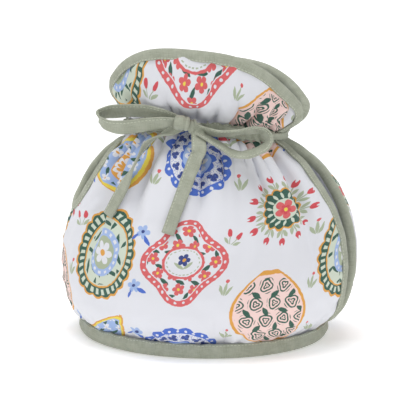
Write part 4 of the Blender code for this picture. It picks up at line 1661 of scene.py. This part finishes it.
@dataclass(frozen=True)
class MedallionPrint:
    """A generic print of flower medallions in half-drop columns, with sprigs between them."""

    name: str = "printed_cotton"
    column: float = 0.0605
    row: float = 0.0705
    scale: float = 1.20
    wobble: float = 0.0011
    wobble_scale: float = 260.0
    fibre: float = 0.00034

    def frame(self, place: Spot, column: int, row: int, tilt: float = 0.0) -> Spot:
        """The frame of a motif that repeats every three columns and two rows.

        Args:
            place: The place in the cloth.
            column: Which column it is in.
            row: Which row it is in.
            tilt: Its tilt in degrees.

        Returns:
            The frame.
        """
        drop = 0.5 * (column % 2)
        x = (place.x - column * self.column).wrapped(1.5 * self.column)
        y = (place.y - (row + drop) * self.row).wrapped(self.row)
        return Spot(x, y).turned(tilt)

    def rosette(self, pen: Printer, spot: Spot, fine: Wire) -> None:
        """A blue scalloped medallion with a petalled heart.

        Args:
            pen: Lays the inks.
            spot: The motif's frame.
            fine: The mask of its fine lines.
        """
        reach, turn = spot.reach(), spot.turn()
        scallop = reach - abs((turn * 7).cosine()) ** 0.7 * 0.0022 - 0.0240
        pen.lay(scallop, Ink.COBALT)
        beads = Spot(turn.wrapped(math.pi / 28) * reach, reach - 0.0232)
        pen.lay(beads.disc(0.00095), Ink.CLOTH)
        disc = pen.graph.inside(reach - 0.0212)
        pen.lay(reach - 0.0212, Ink.CLOTH)
        sprays = spot.round(14, 0.0176)
        pen.lay(sprays.flower(3, 0.0030, 0.35), Ink.NAVY, disc)
        pen.lay(abs(fine) - 0.022, Ink.COBALT, disc * pen.graph.inside(0.0125 - reach))
        pen.lay(reach - abs((turn * 5).cosine()) * 0.0018 - 0.0118, Ink.COBALT)
        pen.lay(reach - 0.0112, Ink.SKY)
        pen.lay(spot.flower(8, 0.0098, 0.42), Ink.CLOTH)
        pen.lay(spot.flower(8, 0.0070, 0.30), Ink.COBALT)
        pen.lay(spot.disc(0.0024), Ink.LEMON)

    def ogee(self, pen: Printer, spot: Spot, roses: Wire, leaves: Wire) -> None:
        """A pink pointed oval filled with green line roses.

        Args:
            pen: Lays the inks.
            spot: The motif's frame.
            roses: The lines of the roses.
            leaves: The shape of the leaves.
        """
        share = (spot.y * (1 / 0.0320)).most(-1.0).least(1.0)
        half = (share * (math.pi / 2)).cosine() ** 0.75 * 0.0268
        edge = (abs(spot.x) - half).most((abs(spot.y) - 0.0300) * 0.7)
        pen.lay(edge, Ink.MUSTARD)
        pen.lay(edge + 0.0021, Ink.PINK)
        ground = pen.graph.inside(edge + 0.0034)
        pen.lay(roses, Ink.FOREST, ground)
        pen.lay(leaves, Ink.FOREST, ground)

    def paisley(self, pen: Printer, spot: Spot, daisies: Wire, hearts: Wire, leaves: Wire) -> None:
        """A light blue paisley with white daisies.

        Args:
            pen: Lays the inks.
            spot: The motif's frame.
            daisies: The shape of the daisies.
            hearts: The shape of their hearts.
            leaves: The shape of the leaves.
        """
        share = (spot.y * (1 / 0.0315)).most(-1.0).least(1.0)
        lift = (share + 1) * 0.5
        bent = spot.x - lift * lift * lift * 0.0150 + 0.0030
        half = (1 - share * share).root() * (1.08 - lift) ** 0.55 * 0.0272
        edge = (abs(bent) - half).most((abs(spot.y) - 0.0310) * 0.7)
        pen.lay(edge - 0.0012, Ink.MUSTARD)
        pen.lay(edge + 0.0004, Ink.LEMON)
        pen.lay(edge + 0.0022, Ink.SKY)
        ground = pen.graph.inside(edge + 0.0032)
        pen.lay(leaves, Ink.FOREST, ground)
        pen.lay(daisies, Ink.CLOTH, ground)
        pen.lay(hearts, Ink.MUSTARD, ground)
        heart = spot.moved(-0.0030, -0.0125)
        pen.lay(heart.disc(0.0098), Ink.MUSTARD)
        pen.lay(heart.flower(10, 0.0084, 0.62), Ink.CLOTH)
        pen.lay(heart.flower(10, 0.0058, 0.50), Ink.MUSTARD)

    def wreath(self, pen: Printer, spot: Spot) -> None:
        """A ring of red tulips on sage leaves round a scalloped mustard line.

        Args:
            pen: Lays the inks.
            spot: The motif's frame.
        """
        tulip = spot.round(13, 0.0225)
        pen.lay(Spot(abs(tulip.x) - 0.0021, tulip.y + 0.0046).turned(62).leaf(0.0062, 0.0022), Ink.SAGE)
        pen.lay(abs(tulip.x) - 0.0004 + (abs(tulip.y + 0.0040) - 0.0034).most(0.0), Ink.SAGE)
        pen.lay(tulip.moved(0.0, 0.0008).oval(0.0021, 0.0027), Ink.RED)
        pen.lay(tulip.moved(0.0, 0.0030).oval(0.0008, 0.0015), Ink.CLOTH)
        turn, reach = spot.turn(), spot.reach()
        heart = reach - abs((turn * 7).sine()) * 0.0018
        pen.lay(heart - 0.0142, Ink.MUSTARD)
        pen.lay(heart - 0.0130, Ink.FOREST)
        disc = pen.graph.inside(reach - 0.0128)
        pen.lay(spot.round(14, 0.0104).turned(90).leaf(0.0052, 0.0020), Ink.MINT, disc)
        pen.lay(reach - 0.0078, Ink.MINT)
        pen.lay(spot.flower(5, 0.0070, 0.45), Ink.CORAL)
        pen.lay(spot.flower(5, 0.0036, 0.45, 0.5), Ink.RED)
        pen.lay(spot.disc(0.0013), Ink.LEMON)

    def quatrefoil(self, pen: Printer, spot: Spot, blossoms: Wire, hearts: Wire, leaves: Wire) -> None:
        """A coral four-lobed frame filled with blossom.

        Args:
            pen: Lays the inks.
            spot: The motif's frame.
            blossoms: The shape of the blossoms.
            hearts: The shape of their hearts.
            leaves: The shape of the leaves.
        """
        reach, turn = spot.reach(), spot.turn()
        lobes = (turn * 4).cosine() * 0.0030
        edge = reach - lobes - 0.0262
        pen.lay(edge, Ink.CORAL)
        beads = Spot(turn.wrapped(math.pi / 30) * reach, edge + 0.0022)
        pen.lay(beads.disc(0.0009), Ink.CLOTH)
        pen.lay(edge + 0.0042, Ink.CLOTH)
        ground = pen.graph.inside(edge + 0.0048)
        pen.lay(leaves, Ink.FOREST, ground)
        pen.lay(blossoms, Ink.CORAL, ground)
        pen.lay(hearts, Ink.LEMON, ground)
        heart = spot.oval(0.0142, 0.0108)
        pen.lay(heart, Ink.CORAL)
        pen.lay(heart + 0.0014, Ink.CLOTH)
        dots = spot.round(22, 0.0)
        pen.lay((abs(heart + 0.0026) - 0.0003).most(abs(dots.x) - 0.0007), Ink.SAGE)
        stem = spot.moved(0.0, -0.0020)
        pen.lay(Spot(abs(stem.x) - 0.0028, stem.y).turned(38).leaf(0.0078, 0.0024), Ink.SAGE)
        pen.lay(spot.moved(0.0, 0.0018).flower(5, 0.0040, 0.5), Ink.NAVY)
        pen.lay(spot.moved(0.0, 0.0018).disc(0.0011), Ink.MUSTARD)

    def leaf_oval(self, pen: Printer, spot: Spot, leaves: Wire) -> None:
        """A sage oval of leaves with a light blue ring.

        Args:
            pen: Lays the inks.
            spot: The motif's frame.
            leaves: The shape of the leaves.
        """
        edge = spot.oval(0.0262, 0.0312)
        scallop = edge - abs((spot.turn() * 11).sine()) * 0.0014
        pen.lay(scallop, Ink.MUSTARD)
        pen.lay(scallop + 0.0013, Ink.FOREST)
        band = pen.graph.inside(abs(edge + 0.0032) - 0.0016)
        pen.lay((spot.turn() * 33).sine() * 0.0006, Ink.MINT, band)
        pen.lay(edge + 0.0056, Ink.MUSTARD)
        pen.lay(edge + 0.0066, Ink.MINT)
        pen.lay(leaves, Ink.FOREST, pen.graph.inside(edge + 0.0074))
        ring = spot.oval(0.0135, 0.0160)
        pen.lay(ring, Ink.SKY)
        pen.lay(ring + 0.0040, Ink.SAGE)
        petals = spot.round(16, 0.0)
        pen.lay((abs(ring + 0.0020) - 0.0008).most(abs(petals.x) - 0.0011), Ink.CLOTH)
        pen.lay(spot.flower(6, 0.0082, 0.4), Ink.CLOTH)
        pen.lay(spot.disc(0.0022), Ink.MUSTARD)

    def sprigs(self, pen: Printer, place: Spot) -> None:
        """Small sprigs in the gaps between the medallions, of three kinds by chance.

        Args:
            pen: Lays the inks.
            place: The place in the cloth.
        """
        graph = pen.graph
        across = place.x * (1 / self.column)
        up = place.y * (2 / self.row)
        column, row = across.floor(), up.floor()
        chance = graph.chance(column + 7.0, row + 3.0)
        tilt = (chance * 37.0).sine() * 0.35
        x, y = (across - column - 0.5) * self.column, (up - row - 0.5) * (self.row / 2)
        site = Spot(x + y * tilt, y - x * tilt)
        first = graph.math("LESS_THAN", chance, 0.36)
        second = graph.math("GREATER_THAN", chance, 0.68)
        third = 1 - first - second
        pair = Spot(abs(site.x) - 0.0030, site.y).turned(-24)
        pen.lay(pair.moved(0.0, 0.0016).oval(0.0016, 0.0028), Ink.RED, first)
        pen.lay(abs(pair.x) - 0.0003 + (abs(pair.y + 0.0034) - 0.0026).most(0.0), Ink.SAGE, first)
        pen.lay(Spot(abs(site.x) - 0.0038, site.y + 0.0040).turned(35).leaf(0.0062, 0.0022), Ink.SAGE, first)
        pen.lay(site.turned(12).flower(5, 0.0050, 0.4), Ink.SKY, second)
        pen.lay(site.disc(0.0012), Ink.NAVY, second)
        pen.lay(site.moved(0.0048, -0.0046).turned(-40).leaf(0.0078, 0.0026), Ink.COBALT, second)
        pen.lay(site.moved(-0.0042, -0.0050).turned(-130).leaf(0.0066, 0.0022), Ink.COBALT, second)
        fan = Spot(abs(site.x) - 0.0026, site.y)
        pen.lay(fan.turned(62).leaf(0.0080, 0.0021), Ink.SAGE, third)
        pen.lay(site.moved(0.0, 0.0010).turned(90).leaf(0.0094, 0.0021), Ink.SAGE, third)
        pen.lay(site.moved(0.0, 0.0064).disc(0.0012), Ink.CORAL, third)

    def build(self) -> bpy.types.Material:
        """Makes the printed cotton.

        Returns:
            The material.
        """
        graph = Graph(self.name)
        u, v = graph.cloth_place()
        loose = graph.noise(u, v, self.wobble_scale, 1.0)
        other = graph.noise(u + 0.37, v + 0.61, self.wobble_scale, 1.0)
        x, y = (at + (soft - 0.5) * self.wobble for at, soft in ((u, loose), (v, other)))
        place = Spot(x * (1 / self.scale), y * (1 / self.scale))
        pen = Printer(graph, Ink.CLOTH.linear)
        rose_cells = Cells.over(place, 0.0128, 0.0122)
        rose = rose_cells.spot
        waver = (rose.turn() * 3 + rose_cells.chance * 6).sine() * 1.5
        rings = (rose.reach() * (2 * math.pi / 0.00225) + waver).sine()
        roses = (rose.flower(5, 0.0058, 0.86)).most((rings + 0.05) * 0.0004)
        rose_leaves = Cells.over(place, 0.0128, 0.0122, 0.5).loosely_turned().leaf(0.0076, 0.0034)
        daisy_cells = Cells.over(place, 0.0112, 0.0104)
        daisy = daisy_cells.spot
        daisies = daisy.flower(5, 0.0040, 0.28, daisy_cells.chance * 3)
        daisy_hearts = daisy.disc(0.0009)
        daisy_leaves = Cells.over(place, 0.0112, 0.0104, 0.5).loosely_turned().leaf(0.0080, 0.0034)
        blossom_cells = Cells.over(place, 0.0104, 0.0096)
        blossom = blossom_cells.spot
        blossoms = blossom.flower(5, 0.0041, 0.5, blossom_cells.chance * 3)
        blossom_hearts = blossom.disc(0.0009)
        blossom_leaves = Cells.over(place, 0.0104, 0.0096, 0.5).loosely_turned().leaf(0.0078, 0.0026)
        stems = Cells.over(place, 0.0062, 0.0106).loosely_turned().leaf(0.0108, 0.0026)
        fine = graph.noise(u, v, 520.0, 1.5) - 0.5
        self.rosette(pen, self.frame(place, 0, 0), fine)
        self.ogee(pen, self.frame(place, 1, 0, 4), roses, rose_leaves)
        self.paisley(pen, self.frame(place, 2, 0, -12), daisies, daisy_hearts, daisy_leaves)
        self.quatrefoil(pen, self.frame(place, 0, 1, 3), blossoms, blossom_hearts, blossom_leaves)
        self.wreath(pen, self.frame(place, 1, 1))
        self.leaf_oval(pen, self.frame(place, 2, 1, -3), stems)
        self.sprigs(pen, place)
        worn = graph.noise(u, v, 900.0, 2.0)
        graph.feed(graph.shader.inputs["Base Color"], graph.mix(worn * 0.10, pen.colour, Ink.CLOTH.linear))
        cotton_weave(graph, u, v, self.fibre, 0.00004)
        return graph.material


def cotton_weave(graph: Graph, u: Wire, v: Wire, pitch: float, depth: float) -> None:
    """A plain weave of fine threads, with slubs, as roughness and relief.

    Args:
        graph: The material to add to.
        u: The place across.
        v: The place along.
        pitch: Two threads, in metres.
        depth: The depth of the relief.
    """
    step = 2 * math.pi / pitch
    threads = (u * step).sine() * (v * step).sine()
    slubs = graph.noise(u * 3, v, 700.0, 2.0)
    soft = graph.noise(u, v, 90.0, 2.0)
    graph.bump(threads * 0.35 + slubs * 0.9 + soft * 1.5, depth)
    graph.feed(graph.shader.inputs["Roughness"], slubs * 0.14 + 0.80)
    graph.cloth_gloss(0.25, 0.12)


@dataclass(frozen=True)
class LiningCotton:
    """The plain white cotton inside, with small blue sprigs."""

    name: str = "lining"
    width: float = 0.034
    height: float = 0.030

    def build(self) -> bpy.types.Material:
        """Makes the lining.

        Returns:
            The material.
        """
        graph = Graph(self.name)
        u, v = graph.cloth_place()
        pen = Printer(graph, Ink.CLOTH.linear)
        cells = Cells.over(Spot(u, v), self.width, self.height)
        sprig = cells.loosely_turned()
        pen.lay(sprig.flower(5, 0.0034, 0.4), Ink.SKY)
        pen.lay(sprig.moved(0.0042, 0.0018).turned(25).leaf(0.0056, 0.0018), Ink.COBALT)
        pen.lay(sprig.disc(0.0008), Ink.LEMON)
        graph.feed(graph.shader.inputs["Base Color"], pen.colour)
        cotton_weave(graph, u, v, 0.00034, 0.00004)
        return graph.material


@dataclass(frozen=True)
class LinenTape:
    """The sage tape, woven of two tones of thread."""

    name: str
    tone: tuple[int, int, int] = (176, 180, 163)
    dark: tuple[int, int, int] = (148, 153, 136)
    pale: tuple[int, int, int] = (192, 196, 181)
    pitch: float = 0.00060
    depth: float = 0.00010

    def build(self) -> bpy.types.Material:
        """Makes the tape's cloth.

        Returns:
            The material.
        """
        graph = Graph(self.name)
        u, v = graph.cloth_place()
        step = 2 * math.pi / self.pitch
        drift = graph.noise(u, v, 380.0, 1.0) * 2.4
        warp, weft = (v * step + drift).sine(), (u * step + drift).sine()
        weave = warp * weft
        slubs_along = graph.noise(u * 0.22, v * 3.2, 620.0, 2.0)
        slubs_across = graph.noise(u * 3.2 + 0.5, v * 0.22, 620.0, 2.0)
        threads = slubs_along * 0.5 + slubs_across * 0.5
        shade = graph.noise(u, v, 110.0, 2.0)
        colour = graph.mix((threads - 0.40) * 2.6 + weave * 0.22 + 0.30, linear(self.dark), linear(self.tone))
        colour = graph.mix((shade - 0.40) * 1.0, colour, linear(self.pale))
        graph.feed(graph.shader.inputs["Base Color"], colour)
        graph.bump(weave * 0.5 + threads * 1.6, self.depth)
        graph.feed(graph.shader.inputs["Roughness"], threads * 0.16 + 0.76)
        graph.cloth_gloss(0.25, 0.15)
        return graph.material


@dataclass(frozen=True)
class Thread:
    """The pale sewing thread."""

    name: str = "sewing_thread"
    tone: tuple[int, int, int] = (218, 222, 206)
    # the darker tone is painted shade, taken where the twist's grooves lie
    shade: tuple[int, int, int] = (196, 202, 182)
    twist: float = 0.0007

    def build(self) -> bpy.types.Material:
        """Makes the thread, with its twist and painted shade in the twist's grooves.

        Returns:
            The material.
        """
        graph = Graph(self.name)
        u, v = graph.cloth_place()
        twist = ((u + v) * (2 * math.pi / self.twist)).sine()
        # painted shade: the colour darkens along the twist's grooves, where its bump sinks
        colour = graph.mix(twist * 0.5 + 0.5, linear(self.shade), linear(self.tone))
        graph.feed(graph.shader.inputs["Base Color"], colour)
        graph.bump(twist, 0.00003)
        graph.shader.inputs["Roughness"].default_value = 0.7
        return graph.material


@dataclass(frozen=True)
class FloorFinish:
    """The plain pale floor."""

    name: str = "floor"
    tone: float = 0.93
    grain: float = 14.0
    glow: float = 0.30

    def build(self) -> bpy.types.Material:
        """Makes the floor's finish.

        Returns:
            The material.
        """
        graph = Graph(self.name)
        place = graph.node("ShaderNodeTexCoord", None, None, "Object")
        cloud = graph.node("ShaderNodeTexNoise", None, {"Vector": place, "Scale": self.grain})
        pale, paler = (self.tone,) * 3, (self.tone + 0.01,) * 3
        graph.feed(graph.shader.inputs["Base Color"], graph.mix(cloud, pale, paler))
        graph.shader.inputs["Roughness"].default_value = 0.9
        graph.shader.inputs["Specular IOR Level"].default_value = 0.2
        graph.shader.inputs["Emission Color"].default_value = (1, 1, 1, 1)
        graph.shader.inputs["Emission Strength"].default_value = self.glow
        return graph.material


@dataclass(frozen=True)
class Studio:
    """The plain floor, the soft light and the camera at the photograph's angle."""

    azimuth: float = 17.0
    elevation: float = 14.0
    lens: float = 900.0
    sensor: float = 36.0
    view_width: float = 0.32
    image: float = 400.0
    # the view's middle beside and above the axis at the floor, in pixels of the photograph
    middle: tuple[float, float] = (-3.0, 130.6)
    world: float = 0.41
    reach: float = 12.0
    aim: float = 0.11
    # name, place, width and power in watts
    lamps: tuple[tuple[str, Colour, float, float], ...] = (
        ("top", (-0.3, 0.2, 6.0), 4.0, 215),
        ("key", (-2.3, -1.7, 1.6), 0.8, 14),
        ("fill", (2.4, -1.6, 1.1), 1.6, 11),
    )

    def camera(self) -> None:
        """Makes the camera, far off with a long lens, as the photograph shows hardly any perspective."""
        a, e = math.radians(self.azimuth), math.radians(self.elevation)
        away = Vector((math.sin(a) * math.cos(e), -math.cos(a) * math.cos(e), math.sin(e)))
        right = Vector((math.cos(a), math.sin(a), 0))
        up = Vector((-math.sin(e) * math.sin(a), math.sin(e) * math.cos(a), math.cos(e)))
        pixel = self.view_width / self.image
        beside, above = (part * pixel for part in self.middle)
        target = Vector((WALL.axis_x, WALL.axis_y, 0)) + right * beside + up * above
        data = bpy.data.cameras.new("camera")
        data.lens, data.sensor_width = self.lens, self.sensor
        data.clip_end = 50
        camera = bpy.data.objects.new("camera", data)
        camera.location = target + away * (self.view_width * self.lens / self.sensor)
        camera.rotation_mode = "QUATERNION"
        camera.rotation_quaternion = away.to_track_quat("Z", "Y")
        bpy.context.scene.collection.objects.link(camera)
        bpy.context.scene.camera = camera

    def light(self, name: str, place: Colour, size: float, power: float) -> None:
        """Makes one large soft light aimed at the cosy.

        Args:
            name: The lamp's name.
            place: Where it hangs.
            size: Its width.
            power: Its power in watts.
        """
        data = bpy.data.lights.new(name, "AREA")
        data.shape, data.size, data.energy = "DISK", size, power
        lamp = bpy.data.objects.new(name, data)
        lamp.location = place
        lamp.rotation_mode = "QUATERNION"
        lamp.rotation_quaternion = (Vector(place) - Vector((0, 0, self.aim))).to_track_quat("Z", "Y")
        bpy.context.scene.collection.objects.link(lamp)

    def floor(self) -> None:
        """Makes the pale floor."""
        mesh = bpy.data.meshes.new("floor")
        corners = [(x * self.reach, y * self.reach, 0) for x, y in ((-1, -1), (1, -1), (1, 1), (-1, 1))]
        mesh.from_pydata(corners, [], [(0, 1, 2, 3)])
        mesh.materials.append(FloorFinish().build())
        floor = bpy.data.objects.new("floor", mesh)
        bpy.context.scene.collection.objects.link(floor)

    def build(self) -> None:
        """Sets the studio up."""
        self.camera()
        self.floor()
        world = bpy.data.worlds.new("studio")
        world.use_nodes = True
        background = world.node_tree.nodes["Background"]
        background.inputs["Color"].default_value = (1, 1, 1, 1)
        background.inputs["Strength"].default_value = self.world
        bpy.context.scene.world = world
        bpy.context.scene.view_settings.view_transform = "Standard"
        for lamp in self.lamps:
            self.light(*lamp)


# share across and height of the rim, from the spout seam to the handle edge
FRONT_RIM: Rows = (
    (0.000, 0.1920),
    (0.030, 0.1935),
    (0.065, 0.1975),
    (0.107, 0.2035),
    (0.203, 0.2190),
    (0.276, 0.2285),
    (0.344, 0.2340),
    (0.430, 0.2373),
    (0.530, 0.2382),
    (0.640, 0.2368),
    (0.720, 0.2335),
    (0.797, 0.2265),
    (0.860, 0.2175),
    (0.920, 0.2060),
    (0.965, 0.1965),
    (0.990, 0.1885),
    (1.000, 0.1800),
)
BACK_RIM: Rows = (
    (0.000, 0.1920),
    (0.030, 0.1930),
    (0.080, 0.1990),
    (0.160, 0.2075),
    (0.280, 0.2140),
    (0.450, 0.2165),
    (0.600, 0.2140),
    (0.700, 0.2122),
    (0.760, 0.2085),
    (0.820, 0.2020),
    (0.875, 0.1965),
    (0.925, 0.1915),
    (0.960, 0.1872),
    (0.982, 0.1830),
    (0.995, 0.1790),
    (1.000, 0.1765),
)
# the casing's greens: painted shade, darker copies of the other tapes' greens for the shade that the casing
# lies in; the colours in the order that LinenTape takes them
CASING_PAINTED_SHADE_GREENS = ((160, 164, 147), (128, 133, 117), (178, 182, 166))


def spout_route() -> tuple[Array, Array]:
    """Turns and heights round the spout hole: down its front edge and up its back edge.

    Returns:
        The turns and the heights.
    """
    around = np.linspace(0, 2 * math.pi, 121)
    heights = WALL.spout_centre + WALL.spout_half_height * np.cos(around)
    spout = read_table(WALL.sections, heights)[:, 4]
    gap = WALL.spout_half_width * np.sin(around)
    return spout + WALL.degrees_for(gap, spout, heights), heights


def main() -> None:
    """Builds the cosy's pieces in order, and the studio."""
    logging.basicConfig(level=logging.INFO, format="%(name)s: %(message)s")
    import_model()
    Studio().build()
    cloth, lining = MedallionPrint().build(), LiningCotton().build()
    stitching = Stitching()
    front = PaddedPanel("front_cloth", "front_panel", 1, FRONT_RIM)
    back = PaddedPanel("back_cloth", "back_panel", -1, BACK_RIM)
    front.build(cloth, lining)
    back.build(cloth, lining)
    front_turns, front_heights = front.edge_route()
    back_turns, back_heights = back.edge_route()
    turns = np.concatenate([front_turns, back_turns[::-1]])
    heights = np.concatenate([front_heights, back_heights[::-1]])
    green = LinenTape("green_binding").build()
    FoldedTape("rim_tape", "rim_binding").build(turns, heights, False, green, stitching)
    spout = FoldedTape("spout_tape", "spout_binding", spacing=0.0015)
    spout.build(*spout_route(), True, green, stitching)
    hem = HemBand()
    hem.build(LinenTape("green_hem").build(), stitching)
    # the casing's cloth, its greens darkened as painted shade
    neck_green_painted_shade = LinenTape("green_casing_painted_shade", *CASING_PAINTED_SHADE_GREENS).build()
    bow_turn, bow_gap, slit_gap = 273.0, 0.0112, 0.0150
    opening = float(WALL.degrees_for(bow_gap, bow_turn, WALL.neck))
    clear = float(WALL.degrees_for(slit_gap, 0.0, WALL.neck))
    long_run = Casing("casing_long_tape", "casing_long", bow_turn - opening, clear)
    long_run.build(neck_green_painted_shade, hem, stitching)
    short_run = Casing("casing_short_tape", "casing_short", bow_turn + opening, 360 - clear, 0.0012)
    short_run.build(neck_green_painted_shade, hem, stitching)
    Tie().build(LinenTape("green_tie").build(), hem, stitching)
    stitching.build(Thread().build())


if __name__ == "__main__":
    main()
